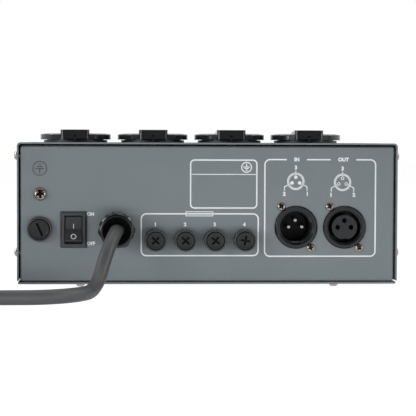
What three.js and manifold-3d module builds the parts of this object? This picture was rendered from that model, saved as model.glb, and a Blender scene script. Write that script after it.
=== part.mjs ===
// A four-channel dimmer pack: a folded steel case with four mains outlets on its lid, and
// fuses, a rocker switch, a cable gland and two round signal connectors on its rear panel.
// Millimetres, +Z up. The rear panel faces -Y, and the origin is on the floor under the pack.
import * as THREE from 'three';
import { mergeVertices } from 'three/addons/utils/BufferGeometryUtils.js';
import Module from 'manifold-3d';

const wasm = await Module();
wasm.setup();

// Shared clearances and finenesses
const seat = 0.3;
const overrun = 1;
const weld = 0.0005;
const ringSides = 24;
const roundSides = 16;
const middleSides = 10;
const smallSides = 8;
const bendSteps = 3;
const slotSteps = 1;

// Case
const caseWidth = 240;
const caseDepth = 165;
const caseHeight = 89;
const coverSheet = 1;
const coverBend = 2.4;
const coverGap = 0.9;
const plateSheet = 1.2;
const plateTrim = 0.5;
const plateCorner = 2;
const panelSheet = 1;
const panelBend = 2.2;
const panelFlange = 13;
const panelNotch = 2;
const panelInset = 1;
const reveal = 1;

// Case screws
const shankDiameter = 3;
const headDiameter = 5.6;
const headHeight = 1.8;
const headFlat = 3.9;
const headEdge = 0.6;
const recessLength = 2.3;
const recessWidth = 0.75;
const recessDepth = 0.9;
const footSpread = 161;
const screwInset = 8;
const screwReach = 5;
const sideScrewInset = 8.3;
const sideScrewFoot = 18.5;

// Side vents
const ventCount = 9;
const ventPitch = 11.5;
const ventWidth = 3;
const ventHeight = 34;
const ventDrop = 22.1;

// Outlets on the lid, one for each channel: a recessed base under a hinged flap
const channelCount = 4;
const outletPitch = 51.4;
const outletMargin = 15;
const outletShift = -8;
const outletFromRear = 70;
const outletBase = 42.2;
const outletBarrel = 40.8;
const outletWell = 38.8;
const outletWellDepth = 17.2;
const outletFloor = 2.4;
const flapDiameter = 46.8;
const flapLow = 1.9;
const flapHigh = 5.4;
const flapCrown = 6;
const flapChamfer = 0.7;
const hoodWidth = 18.8;
const hoodReach = 23.6;
const hoodLength = 32;
const hoodFlat = 5;
const hoodHigh = 8.4;
const hoodCorner = 1.6;
const hoodEdge = 0.7;
const hingeReach = 22;
const hingeRise = 3.4;
const hingePin = 1.4;
const hingePinLength = 10;
const knuckleWidth = 2.2;
const knuckleRadius = 1.2;
const knuckleSlot = 3.6;
const knuckleSlotCorner = 0.6;
const pinSpacing = 19;
const pinHole = 5;
const ribWidth = 4.6;
const ribReach = 2.2;
const ribDrop = 0.7;
const contactWidth = 30;
const contactDepth = 17;
const contactHeight = 9;
const clipWidth = 5;
const clipSheet = 1;
const clipNose = 1.9;
const clipNoseHeight = 5;
const clipTopGap = 1.1;
const lugWidth = 8;
const lugReach = 1.8;
const lugHeight = 4;

// Places on the two panels: shares of the case's width from its middle, and heights above the floor
const switchAcrossShare = -0.3525;
const switchZ = 36.4;
const glandAcrossShare = -0.24;
const glandZ = 36.5;
const mainFuseAcrossShare = -0.4408;
const mainFuseZ = 36.8;
const channelFuseAcrossShare = -0.0219;
const channelFusePitchShare = 0.0779;
const channelFuseZ = 30.1;
const signalAcrossShare = 0.2958;
const signalPitch = 30.8;
const signalZ = 38;
const earthAcrossShare = -0.4396;
const earthZ = 58.7;
const windowAcrossShare = -0.1583;
const buttonAcrossShare = 0.1854;
const displayRise = 5.7;

// Rocker switch
const bezelWidth = 16.6;
const bezelHeight = 22.9;
const bezelProud = 2.2;
const bezelChamfer = 1.1;
const switchBodyWidth = 13;
const switchBodyHeight = 19.5;
const switchBodyDepth = 14;
const rockerWidth = 10.6;
const rockerEndRadius = 8.5;
const rockerThrow = 12;
const rockerPivot = -1;
const rockerFaceAngle = 35;
const rockerTailAngle = -20;
const rockerKeelWidth = 5;
const rockerKeelDrop = 4.5;
const rockerPinDiameter = 1.8;
const rockerPinReach = 0.7;
const terminalWidth = 4.8;
const terminalSheet = 0.8;
const terminalReach = 8;

// Fuse holders with their caps and links
const linkDiameter = 5.2;
const linkLength = 20;
const linkCapLength = 5.5;
const linkWaist = 4.6;
const holderBarrel = 12;
const capHeadHeight = 2.6;
const capStemDiameter = 9.2;
const capStemLength = 5.8;
const capSocketDepth = 4.1;
const capSunk = 0.2;
const capSlotWidth = 0.9;
const capSlotDepth = 1;
const holderEdge = 0.8;
const holderFloor = 3;
const holderNut = 15;
const holderNutHeight = 3;
const mainHolderDiameter = 15.7;
const mainHolderProud = 4;
const mainCapDiameter = 13.2;
const mainSlotLength = 9.4;
const channelHolderDiameter = 13.8;
const channelHolderProud = 11;
const channelCapDiameter = 11.6;
const channelSlotLength = 6.2;

// Round signal connectors
const ringDiameter = 26.8;
const ringProud = 1.6;
const ringStep = 0.7;
const ringStepWidth = 1.5;
const earWidth = 26;
const earHeight = 31;
const earSheet = 2;
const earScrewX = 9.4;
const earScrewZ = 13;
const signalBarrel = 23.6;
const signalDepth = 22;
const inletBore = 18.4;
const outletBore = 20.2;
const insertDiameter = 16.1;
const insertFloor = 4;
const contactCircle = 4.3;
const contactPin = 2.4;
const pinTipDepth = 4.5;
const cupReach = 3;
const keyWidth = 5;
const keyDepth = 1.5;

// Cable gland
const glandAcross = 20.7;
const glandCollar = 5;
const glandNutLength = 15;
const glandNutTurn = 8;
const glandBore = 12.4;
const glandNutBore = 15.2;
const glandThread = 15;
const glandNose = 4;
const glandSeal = 2;
const glandTail = 9;
const lockNutHeight = 4;
const glandShoulder = 7.2;

// Earth screw
const earthHead = 8.4;
const earthHeadHeight = 2.9;
const earthShank = 4;
const earthReach = 9;

// Mains lead
const cordDiameter = 8.5;
const cordLift = 0.05;
const cordSides = 8;
const cordSteps = 24;
const coilRadius = 56;
const coilPitch = 9;
const coilTurns = 4.25;
const coilSides = 6;
const coilStepsPerTurn = 24;
const coilX = -192;
const coilY = -126;
const coilClimbTurns = 0.5;
const tailLength = 42;
const tailSteps = 6;
const plugAxis = 18.4;
const plugRim = 36.4;
const plugRimLength = 14;
const plugGrip = 32;
const plugWaist = 16;
const plugRelief = 11;
const plugReliefLength = 24;
const plugGripLength = 9;
const plugPin = 4.8;
const plugPinLength = 19;
const plugSideWidth = 27;
const plugEarthSlot = 7;

// Front panel
const windowWidth = 46;
const windowHeight = 18;
const windowCorner = 1.5;
const windowSheet = 1.6;
const windowLip = 2;
const buttonCount = 4;
const buttonPitch = 15;
const buttonDiameter = 7;
const buttonProud = 1.8;
const buttonCollar = 9.4;
const buttonCollarHeight = 1.2;
const buttonTravel = 1;
const buttonStem = 3;
const buttonSink = 0.6;
const switchBlock = 6.2;
const switchBlockHeight = 3.5;

// Boards
const boardSheet = 1.6;
const controlWidth = 150;
const controlHeight = 52;
const controlSetback = 12;
const displayHeight = 14;
const spacerDiameter = 6;
const powerWidth = 196;
const powerDepth = 104;
const powerRise = 8;
const powerFromFront = 34;
const chokeDiameter = 26;
const chokeHeight = 12;
const chokeHole = 10;
const chokePitch = 46;
const transformerWidth = 38;
const transformerDepth = 30;
const transformerHeight = 28;
const capacitorDiameter = 12;
const capacitorHeight = 22;
const terminalBlockWidth = 60;
const terminalBlockDepth = 11;
const terminalBlockHeight = 14;
const sinkLength = 168;
const sinkHeight = 34;
const sinkDepth = 22;
const sinkBase = 4;
const sinkFinSheet = 1.6;
const sinkFins = 9;

// Levels and faces that follow from the sizes
const footHeight = headHeight + seat;
const plateTop = footHeight + plateSheet;
const lidTop = footHeight + caseHeight;
const sideScrewLow = plateTop + sideScrewFoot;
const sideScrewHigh = lidTop - sideScrewInset;
const coverLow = plateTop + coverGap;
const panelLow = plateTop + seat;
const panelHigh = lidTop - coverSheet - reveal;
const panelWidth = caseWidth - 2 * (coverSheet + reveal);
const switchX = caseWidth * switchAcrossShare;
const glandX = caseWidth * glandAcrossShare;
const mainFuseX = caseWidth * mainFuseAcrossShare;
const channelFuseX = caseWidth * channelFuseAcrossShare;
const channelFusePitch = caseWidth * channelFusePitchShare;
const signalInX = caseWidth * signalAcrossShare - signalPitch / 2;
const signalOutX = caseWidth * signalAcrossShare + signalPitch / 2;
const earthX = caseWidth * earthAcrossShare;
const windowX = caseWidth * windowAcrossShare;
const buttonX = caseWidth * buttonAcrossShare;
const windowZ = (panelLow + panelHigh) / 2 + displayRise;
const outletRoom = Math.floor((caseWidth - 2 * outletMargin) / outletPitch);
const outletCount = Math.min(channelCount, outletRoom);
const outletRim = flapLow - seat;
const wellFloor = outletRim - outletWellDepth;
const outletUnder = wellFloor - outletFloor;
const contactLow = outletUnder - contactHeight;
const clipFace = outletWell / 2 + seat / 2;
const clipTop = outletRim - clipTopGap;
const rearFace = -caseDepth / 2 + panelInset;
const frontFace = caseDepth / 2 - panelInset;
const glandReach = glandCollar + seat + glandNutLength;
const glandCorner = glandAcross / 2 / Math.cos(Math.PI / 6);
const cordHeight = cordDiameter / 2 + cordLift;
const packShift = (glandReach - buttonProud) / 2 + (-rearFace - frontFace) / 2;

// Materials
function paint(color, roughness, metalness = 0) {
  return new THREE.MeshStandardMaterial({ color, roughness, metalness, flatShading: true });
}
const caseGrey = paint('#737b80', 0.55, 0.2);
const blackPlastic = paint('#1b1c1d', 0.45);
const glossBlack = paint('#0e0e0f', 0.2);
const rubberBlack = paint('#2b2c2c', 0.6);
const nickel = paint('#b9b2ac', 0.3, 1);
const plated = paint('#c8bda4', 0.35, 1);
const aluminium = paint('#a9acae', 0.4, 1);
const boardGreen = paint('#2d5a3c', 0.5);
const smokedRed = paint('#4a1014', 0.15);
const ceramic = paint('#d8d6d0', 0.3);

// Solids: closed geometries joined, cut and intersected
function toSolid(geometry) {
  const bare = geometry.clone();
  bare.deleteAttribute('normal');
  bare.deleteAttribute('uv');
  const merged = mergeVertices(bare, weld);
  return new wasm.Manifold(new wasm.Mesh({
    numProp: 3,
    vertProperties: merged.attributes.position.array,
    triVerts: new Uint32Array(merged.index.array),
  }));
}

function toGeometry(made) {
  const mesh = made.getMesh();
  const places = new Float32Array(mesh.numVert * 3);
  for (let i = 0; i < mesh.numVert; i += 1) {
    places.set(mesh.vertProperties.subarray(i * mesh.numProp, i * mesh.numProp + 3), i * 3);
  }
  return new THREE.BufferGeometry()
    .setAttribute('position', new THREE.BufferAttribute(places, 3))
    .setIndex(new THREE.BufferAttribute(mesh.triVerts, 1));
}

function join(first, ...rest) {
  return toGeometry(rest.reduce((sum, one) => sum.add(toSolid(one)), toSolid(first)));
}

function cut(from, ...tools) {
  return toGeometry(tools.reduce((left, one) => left.subtract(toSolid(one)), toSolid(from)));
}

function common(first, second) {
  return toGeometry(toSolid(first).intersect(toSolid(second)));
}

// Shapes in the XY plane
function rectangle(width, height, x = 0, y = 0) {
  const shape = new THREE.Shape();
  shape.moveTo(x - width / 2, y - height / 2);
  shape.lineTo(x + width / 2, y - height / 2);
  shape.lineTo(x + width / 2, y + height / 2);
  shape.lineTo(x - width / 2, y + height / 2);
  shape.closePath();
  return shape;
}

function roundedRectangle(width, height, corner, x = 0, y = 0) {
  const [left, right] = [x - width / 2 + corner, x + width / 2 - corner];
  const [low, high] = [y - height / 2 + corner, y + height / 2 - corner];
  const shape = new THREE.Shape();
  shape.absarc(right, low, corner, -Math.PI / 2, 0);
  shape.absarc(right, high, corner, 0, Math.PI / 2);
  shape.absarc(left, high, corner, Math.PI / 2, Math.PI);
  shape.absarc(left, low, corner, Math.PI, Math.PI * 1.5);
  shape.closePath();
  return shape;
}

function polygon(points) {
  return new THREE.Shape(points.map(([x, y]) => new THREE.Vector2(x, y)));
}

function regular(sides, radius, turn = 0) {
  return polygon(Array.from({ length: sides }, (_, i) => {
    const angle = turn + (i * 2 * Math.PI) / sides;
    return [radius * Math.cos(angle), radius * Math.sin(angle)];
  }));
}

// A sheet folded down at both ends, seen from its edge: the flat lies on y = 0.
function foldedSheet(width, drop, bend, sheet) {
  const side = width / 2;
  const shape = new THREE.Shape();
  shape.moveTo(-side, -drop);
  shape.lineTo(-side, -bend);
  shape.absarc(-side + bend, -bend, bend, Math.PI, Math.PI / 2, true);
  shape.lineTo(side - bend, 0);
  shape.absarc(side - bend, -bend, bend, Math.PI / 2, 0, true);
  shape.lineTo(side, -drop);
  shape.lineTo(side - sheet, -drop);
  shape.lineTo(side - sheet, -bend);
  shape.absarc(side - bend, -bend, bend - sheet, 0, Math.PI / 2);
  shape.lineTo(-side + bend, -sheet);
  shape.absarc(-side + bend, -bend, bend - sheet, Math.PI / 2, Math.PI);
  shape.lineTo(-side + sheet, -drop);
  shape.closePath();
  return shape;
}

// Solids from shapes: a slab rises from z, and the other two run along X or Y about the middle
function slab(shape, height, z = 0, steps = bendSteps) {
  const settings = { depth: height, bevelEnabled: false, curveSegments: steps };
  return new THREE.ExtrudeGeometry(shape, settings).translate(0, 0, z);
}

function alongX(shape, length, steps = bendSteps) {
  return slab(shape, length, -length / 2, steps).rotateX(Math.PI / 2).rotateZ(Math.PI / 2);
}

function alongY(shape, length, steps = bendSteps) {
  return slab(shape, length, -length / 2, steps).rotateX(Math.PI / 2);
}

function block(width, depth, height, x = 0, y = 0, z = 0) {
  return new THREE.BoxGeometry(width, depth, height).translate(x, y, z);
}

// A solid of revolution about Z from [radius, z] pairs that start and end on the axis
function turned(profile, sides = roundSides) {
  const points = profile.map(([radius, z]) => new THREE.Vector2(radius, z));
  return new THREE.LatheGeometry(points, sides).rotateX(Math.PI / 2);
}

function post(diameter, low, high, sides = roundSides, x = 0, y = 0) {
  const radius = diameter / 2;
  return turned([[0, low], [radius, low], [radius, high], [0, high]], sides).translate(x, y, 0);
}

function part(name, geometry, material, place = [0, 0, 0]) {
  const mesh = new THREE.Mesh(geometry, material);
  mesh.name = name;
  mesh.position.set(...place);
  return mesh;
}

const degrees = (angle) => (angle * Math.PI) / 180;
const spread = (count, pitch) => Array.from({ length: count }, (_, i) => (i - (count - 1) / 2) * pitch);
const corners = (x, y) => [[-x, -y], [x, -y], [x, y], [-x, y]];

// Groups: each face of the pack has a frame whose z points out of that face
const dimmerPack = new THREE.Group();
const pack = new THREE.Group();
pack.position.y = packShift;
dimmerPack.add(pack);

const rear = new THREE.Group();
rear.rotation.x = Math.PI / 2;
rear.position.y = rearFace;

const front = new THREE.Group();
front.rotation.set(Math.PI / 2, 0, Math.PI, 'ZYX');
front.position.y = frontFace;

const lid = new THREE.Group();
lid.position.z = lidTop;
pack.add(rear, front, lid);

// Pan-head screws with a cross recess, the head's underside on z = 0
function screw(head, height, flat, shank, reach) {
  const body = turned([
    [0, -reach],
    [shank / 2, -reach],
    [shank / 2, 0],
    [head / 2, 0],
    [head / 2, headEdge * (height / headHeight)],
    [flat / 2, height],
    [0, height],
  ], middleSides);
  const length = recessLength * (flat / headFlat);
  const width = recessWidth * (flat / headFlat);
  const depth = recessDepth * (height / headHeight);
  const across = block(length, width, 2 * depth, 0, 0, height);
  const along = block(width, length, 2 * depth, 0, 0, height);
  return cut(body, across, along);
}

const caseScrew = screw(headDiameter, headHeight, headFlat, shankDiameter, screwReach);
const footScrew = screw(headDiameter, footHeight, headFlat, shankDiameter, screwReach);
const screwHole = shankDiameter + 2 * seat;
const screwY = caseDepth / 2 - screwInset;

function addSideScrews() {
  let count = 0;
  [-1, 1].forEach((side) => {
    [-screwY, screwY].forEach((y) => {
      [sideScrewLow, sideScrewHigh].forEach((z) => {
        count += 1;
        const place = [side * (caseWidth / 2 + seat), y, z];
        const one = part(`side_screw_${count}`, caseScrew, nickel, place);
        one.rotation.y = (side * Math.PI) / 2;
        pack.add(one);
      });
    });
  });
}

// Holes for the side screws, right through the case
function sideScrewHoles() {
  return [-screwY, screwY].flatMap((y) => [sideScrewLow, sideScrewHigh].map((z) => {
    const length = caseWidth + 2 * overrun;
    const hole = post(screwHole, -length / 2, length / 2, smallSides).rotateY(Math.PI / 2);
    return hole.translate(0, y, z);
  }));
}

function footScrewHoles() {
  return corners(footSpread / 2, screwY).map(([x, y]) => (
    post(screwHole, 0, panelLow + panelBend, smallSides, x, y)
  ));
}

// Cover: one sheet folded over the top and both sides, with vents and the outlets' holes
function coverGeometry() {
  const sheetDrop = lidTop - coverLow;
  const sheet = alongY(foldedSheet(caseWidth, sheetDrop, coverBend, coverSheet), caseDepth);
  const body = sheet.translate(0, 0, lidTop);
  const vents = spread(ventCount, ventPitch).map((y) => {
    const height = lidTop - ventDrop - ventHeight / 2;
    const slot = roundedRectangle(ventWidth, ventHeight, ventWidth / 2, y, height);
    return alongX(slot, caseWidth + 2 * overrun, slotSteps);
  });
  const outlets = outletPlaces().map(([x, y]) => {
    const hole = outletBarrel + 2 * seat;
    return post(hole, lidTop - coverBend, lidTop + overrun, roundSides, x, y);
  });
  const notches = outletPlaces().flatMap(([x, y]) => {
    const lugs = outletBarrel + 2 * (lugReach + seat);
    const clips = 2 * (clipFace + clipSheet + seat);
    return [
      block(lugs, lugWidth + 2 * seat, coverSheet + 2 * overrun, x, y, lidTop),
      block(clipWidth + 2 * seat, clips, coverSheet + 2 * overrun, x, y, lidTop),
    ];
  });
  return cut(body, ...vents, ...outlets, ...notches, ...sideScrewHoles());
}

// The plate and the four screws it stands on are one solid
function plateGeometry() {
  const outline = roundedRectangle(caseWidth - 2 * plateTrim, caseDepth - 2 * plateTrim, plateCorner);
  const feet = corners(footSpread / 2, screwY).map(([x, y]) => (
    footScrew.clone().rotateX(Math.PI).translate(x, y, footHeight)
  ));
  return join(slab(outline, plateSheet, footHeight), ...feet);
}

// A panel is a shallow tray: flanges folded back on all four sides, with notched corners
function panelGeometry(faceY, outward) {
  const height = panelHigh - panelLow;
  const middle = (panelHigh + panelLow) / 2;
  const sides = foldedSheet(panelWidth, panelFlange, panelBend, panelSheet);
  const ends = foldedSheet(height, panelFlange, panelBend, panelSheet);
  const wide = alongY(sides, height - 2 * panelNotch).translate(0, middle, 0);
  const tall = alongX(ends, panelWidth - 2 * panelNotch).translate(0, middle, 0);
  const tray = join(wide, tall);
  const bores = [...sideScrewHoles(), ...footScrewHoles()].map((hole) => {
    const local = hole.clone().translate(0, -faceY, 0);
    return outward > 0
      ? local.rotateZ(-Math.PI).rotateX(-Math.PI / 2)
      : local.rotateX(-Math.PI / 2);
  });
  return cut(tray, ...bores);
}

function panelHole(diameter, x, y, sides = roundSides) {
  return post(diameter, -panelBend, overrun, sides, x, y);
}

function panelWindow(width, height, x, y, corner) {
  const depth = panelBend + overrun;
  return slab(roundedRectangle(width, height, corner, x, y), depth, -panelBend);
}

function rearPanelGeometry() {
  const fuses = spread(channelCount, channelFusePitch).map((offset) => (
    panelHole(holderBarrel + 2 * seat, channelFuseX + offset, channelFuseZ)
  ));
  const signals = [signalInX, signalOutX].flatMap((x) => [
    panelHole(ringDiameter + 2 * seat, x, signalZ),
    panelHole(screwHole, x - earScrewX, signalZ + earScrewZ, smallSides),
    panelHole(screwHole, x + earScrewX, signalZ - earScrewZ, smallSides),
  ]);
  const bodyWidth = switchBodyWidth + 2 * seat;
  const bodyHeight = switchBodyHeight + 2 * seat;
  return cut(
    panelGeometry(rearFace, -1),
    ...fuses,
    ...signals,
    panelHole(holderBarrel + 2 * seat, mainFuseX, mainFuseZ),
    panelHole(glandThread + 2 * seat, glandX, glandZ),
    panelHole(earthShank + 2 * seat, earthX, earthZ, smallSides),
    panelWindow(bodyWidth, bodyHeight, switchX, switchZ, seat),
  );
}

function frontPanelGeometry() {
  const buttons = spread(buttonCount, buttonPitch).map((offset) => (
    panelHole(buttonDiameter + 2 * seat, buttonX + offset, windowZ)
  ));
  const opening = panelWindow(windowWidth, windowHeight, windowX, windowZ, windowCorner);
  return cut(panelGeometry(frontFace, 1), opening, ...buttons);
}

// Outlets: a round recess for the plug, with earth clips, a hinge knuckle and its pin
function outletPlaces() {
  const y = -caseDepth / 2 + outletFromRear;
  return spread(outletCount, outletPitch).map((x) => [x + outletShift, y]);
}

function hingePost(diameter, length) {
  const pin = post(diameter, -length / 2, length / 2, smallSides);
  return pin.rotateY(Math.PI / 2).translate(0, -hingeReach, hingeRise);
}

function knuckleGeometry() {
  const [near, far] = [knuckleRadius - hingeReach, -knuckleRadius - hingeReach];
  const inner = -outletWell / 2 - seat;
  const shape = new THREE.Shape();
  shape.moveTo(far, seat);
  shape.lineTo(inner, seat);
  shape.lineTo(inner, outletRim);
  shape.lineTo(near, outletRim);
  shape.lineTo(near, hingeRise);
  shape.absarc(-hingeReach, hingeRise, knuckleRadius, 0, Math.PI);
  shape.closePath();
  return alongX(shape, knuckleWidth);
}

function outletGeometry() {
  const body = turned([
    [0, outletUnder],
    [outletBarrel / 2, outletUnder],
    [outletBarrel / 2, seat],
    [outletBase / 2, seat],
    [outletBase / 2, outletRim],
    [0, outletRim],
  ], roundSides);
  const lugs = [-1, 1].map((side) => {
    const middle = (side * (outletBarrel + lugReach)) / 2;
    const high = -coverSheet - seat;
    return block(lugReach * 2, lugWidth, lugHeight, middle, 0, high - lugHeight / 2);
  });
  const contacts = slab(rectangle(contactWidth, contactDepth), contactHeight + seat, contactLow);
  const well = post(outletWell, wellFloor, outletRim + overrun);
  const ribs = [-1, 1].map((side) => {
    const middle = (side * (outletWell - ribReach)) / 2;
    const height = outletWellDepth - ribDrop;
    return block(ribReach, ribWidth, height, middle, 0, wellFloor + height / 2);
  });
  const pins = [-1, 1].map((side) => (
    post(pinHole, contactLow + outletFloor, wellFloor + overrun, smallSides, (side * pinSpacing) / 2)
  ));
  const slotHeight = clipTop + seat - outletUnder + overrun;
  const slots = [-1, 1].map((side) => {
    const inner = clipFace - clipNose - seat;
    const reach = clipFace + clipSheet + seat - inner;
    const middle = side * (inner + reach / 2);
    return block(clipWidth + 2 * seat, reach, slotHeight, 0, middle, clipTop + seat - slotHeight / 2);
  });
  const shell = cut(join(body, ...lugs, contacts), well);
  const solid = join(shell, ...ribs, knuckleGeometry());
  return join(cut(solid, ...pins, ...slots), hingePost(hingePin, hingePinLength));
}

// A flap is a shallow disc whose hinge hides under a hood that slopes back into the disc
function flapGeometry() {
  const disc = turned([
    [0, flapLow],
    [flapDiameter / 2, flapLow],
    [flapDiameter / 2, flapHigh - flapChamfer],
    [flapDiameter / 2 - flapChamfer, flapHigh],
    [outletWell / 2, flapCrown],
    [0, flapCrown],
  ], roundSides);
  const hoodCornerRadius = Math.sqrt(hoodReach ** 2 + (hoodWidth / 2) ** 2);
  const lean = Math.atan2(hoodWidth / 2, hoodReach) + Math.acos(flapDiameter / 2 / hoodCornerRadius);
  const tangent = [Math.sin(lean) * (flapDiameter / 2), -Math.cos(lean) * (flapDiameter / 2)];
  const shoulder = slab(polygon([
    [-tangent[0], tangent[1]],
    [-hoodWidth / 2, hoodCorner - hoodReach],
    [hoodWidth / 2, hoodCorner - hoodReach],
    [tangent[0], tangent[1]],
  ]), flapHigh - flapLow, flapLow);
  const outline = roundedRectangle(hoodWidth, hoodLength, hoodCorner, 0, hoodLength / 2 - hoodReach);
  const upright = slab(outline, hoodHigh - flapLow, flapLow, slotSteps);
  const profile = alongX(polygon([
    [hoodEdge - hoodReach, flapLow],
    [hoodLength - hoodReach, flapLow],
    [hoodLength - hoodReach, flapCrown],
    [hoodFlat - hoodReach, hoodHigh],
    [-hoodReach, hoodHigh],
    [-hoodReach, flapLow + hoodEdge],
  ]), hoodWidth);
  const slotTop = hingeRise + knuckleRadius + seat;
  const slotLow = flapLow - overrun;
  const slotRear = knuckleRadius + seat - hingeReach;
  const slotLength = slotRear + hoodReach + overrun;
  const slotMiddle = (slotTop + slotLow) / 2;
  const arch = roundedRectangle(knuckleSlot, slotTop - slotLow, knuckleSlotCorner, 0, slotMiddle);
  const slot = alongY(arch, slotLength, slotSteps).translate(0, slotRear - slotLength / 2, 0);
  const bore = hingePost(hingePin + 2 * seat, hingePinLength + 2 * seat);
  return cut(join(disc, shoulder, common(upright, profile)), slot, bore);
}

// One bent strip carries both earth noses of an outlet and passes under its contact block
function earthClipGeometry() {
  const bottom = contactLow - seat - clipSheet;
  const half = [
    [clipFace + clipSheet, clipTop],
    [clipFace + clipSheet - seat, clipTop],
    [clipFace - clipNose, clipTop - clipNoseHeight / 2],
    [clipFace, clipTop - clipNoseHeight],
    [clipFace, bottom + clipSheet],
  ];
  const under = clipFace + clipSheet;
  const outline = [
    [-under, bottom],
    [under, bottom],
    ...half,
    ...half.map(([y, z]) => [-y, z]).reverse(),
  ];
  return alongX(polygon(outline), clipWidth);
}

function addOutlets() {
  const outlet = outletGeometry();
  const flap = flapGeometry();
  const clip = earthClipGeometry();
  outletPlaces().forEach(([x, y], i) => {
    lid.add(part(`outlet_${i + 1}`, outlet, blackPlastic, [x, y, 0]));
    lid.add(part(`outlet_flap_${i + 1}`, flap, blackPlastic, [x, y, 0]));
    lid.add(part(`outlet_earth_clip_${i + 1}`, clip, plated, [x, y, 0]));
  });
}

// Rocker switch: a framed housing, and a rocker pressed in at its top
function switchHousingGeometry() {
  const top = rectangle(bezelWidth - 2 * bezelChamfer, bezelHeight - 2 * bezelChamfer);
  const bevelled = new THREE.ExtrudeGeometry(top, {
    depth: bezelProud - bezelChamfer - seat,
    bevelEnabled: true,
    bevelThickness: bezelChamfer,
    bevelSize: bezelChamfer,
    bevelSegments: 1,
  }).translate(0, 0, seat);
  const under = block(bezelWidth, bezelHeight, bezelProud, 0, 0, seat - bezelProud / 2);
  const frame = cut(bevelled, under);
  const back = -switchBodyDepth;
  const body = slab(rectangle(switchBodyWidth, switchBodyHeight), switchBodyDepth + 2 * seat, back);
  const tabs = [-1, 0, 1].map((row) => block(
    terminalWidth,
    terminalSheet,
    terminalReach + overrun,
    0,
    row * (switchBodyHeight / 2 - 2 * terminalSheet),
    back - (terminalReach - overrun) / 2,
  ));
  const deep = rockerPivot - Math.hypot(rockerKeelWidth / 2, rockerKeelDrop) - seat;
  const cavity = slab(
    rectangle(rockerWidth + 2 * seat, 2 * (rockerEndRadius + seat)),
    bezelProud + overrun - deep,
    deep,
  );
  const pinBore = post(
    rockerPinDiameter + 2 * seat,
    -switchBodyWidth / 2 - overrun,
    switchBodyWidth / 2 + overrun,
    smallSides,
  ).rotateY(Math.PI / 2).translate(0, 0, rockerPivot);
  return cut(join(frame, body, ...tabs), cavity, pinBore);
}

function rockerGeometry() {
  const arc = (from, to) => Array.from({ length: 5 }, (_, i) => {
    const angle = degrees(from + ((to - from) * i) / 4);
    return [rockerEndRadius * Math.cos(angle), rockerEndRadius * Math.sin(angle)];
  });
  const faceY = rockerEndRadius * Math.cos(degrees(rockerFaceAngle));
  const faceZ = rockerEndRadius * Math.sin(degrees(rockerFaceAngle));
  const dip = faceZ - faceY * Math.tan(degrees(rockerThrow));
  const right = arc(rockerTailAngle, rockerFaceAngle);
  const outline = [
    ...right,
    [0, dip],
    ...right.map(([y, z]) => [-y, z]).reverse(),
    [-rockerKeelWidth / 2, -rockerKeelDrop],
    [rockerKeelWidth / 2, -rockerKeelDrop],
  ];
  const body = alongX(polygon(outline), rockerWidth);
  const pinLength = rockerWidth + 2 * rockerPinReach;
  const pin = post(rockerPinDiameter, -pinLength / 2, pinLength / 2, smallSides);
  return join(body, pin.rotateY(Math.PI / 2));
}

function addSwitch() {
  rear.add(part('switch_housing', switchHousingGeometry(), blackPlastic, [switchX, switchZ, 0]));
  const rocker = part('switch_rocker', rockerGeometry(), blackPlastic, [switchX, switchZ, rockerPivot]);
  rocker.rotation.x = -degrees(rockerThrow);
  rear.add(rocker);
}

// Fuse holders: the mouth is the plane of the holder's outer face, and all depths count from it
const stemEnd = -capSunk - capHeadHeight - capStemLength;
const linkHigh = stemEnd + capSocketDepth - seat;
const linkLow = linkHigh - linkLength;
const holderEnd = linkLow - seat - holderFloor;

const mainHolder = {
  diameter: mainHolderDiameter,
  proud: mainHolderProud,
  cap: mainCapDiameter,
  slot: mainSlotLength,
};

const channelHolder = {
  diameter: channelHolderDiameter,
  proud: channelHolderProud,
  cap: channelCapDiameter,
  slot: channelSlotLength,
};

function holderGeometry(kind) {
  const face = -kind.proud;
  const body = turned([
    [0, holderEnd],
    [holderBarrel / 2, holderEnd],
    [holderBarrel / 2, face + seat],
    [kind.diameter / 2, face + seat],
    [kind.diameter / 2, -holderEdge],
    [kind.diameter / 2 - holderEdge / 2, 0],
    [0, 0],
  ]);
  const nutTop = face - panelSheet - seat;
  const nut = slab(regular(6, holderNut / 2), holderNutHeight, nutTop - holderNutHeight);
  const tag = block(
    terminalWidth,
    terminalSheet,
    terminalReach,
    0,
    0,
    holderEnd - terminalReach / 2 + seat,
  );
  const mouthFloor = -capSunk - capHeadHeight - seat;
  const bore = turned([
    [0, linkLow - seat],
    [linkDiameter / 2 + seat, linkLow - seat],
    [linkDiameter / 2 + seat, stemEnd - seat],
    [capStemDiameter / 2 + seat, stemEnd - seat],
    [capStemDiameter / 2 + seat, mouthFloor + seat],
    [0, mouthFloor + seat],
  ], middleSides);
  const mouth = post(kind.cap + 2 * seat, mouthFloor, overrun);
  return cut(join(body, nut, tag), bore, mouth);
}

function capGeometry(kind, slots) {
  const body = turned([
    [0, stemEnd],
    [capStemDiameter / 2, stemEnd],
    [capStemDiameter / 2, -capSunk - capHeadHeight],
    [kind.cap / 2, -capSunk - capHeadHeight],
    [kind.cap / 2, -capSunk - holderEdge / 2],
    [kind.cap / 2 - holderEdge / 2, -capSunk],
    [0, -capSunk],
  ]);
  const socketTop = stemEnd + capSocketDepth;
  const socket = post(linkDiameter + 2 * seat, stemEnd - overrun, socketTop, smallSides);
  const grooves = slots.map((angle) => (
    block(kind.slot, capSlotWidth, 2 * capSlotDepth, 0, 0, -capSunk).rotateZ(degrees(angle))
  ));
  return cut(body, socket, ...grooves);
}

function linkGeometry() {
  return turned([
    [0, linkLow],
    [linkDiameter / 2, linkLow],
    [linkDiameter / 2, linkLow + linkCapLength],
    [linkWaist / 2, linkLow + linkCapLength],
    [linkWaist / 2, linkHigh - linkCapLength],
    [linkDiameter / 2, linkHigh - linkCapLength],
    [linkDiameter / 2, linkHigh],
    [0, linkHigh],
  ], smallSides);
}

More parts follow.
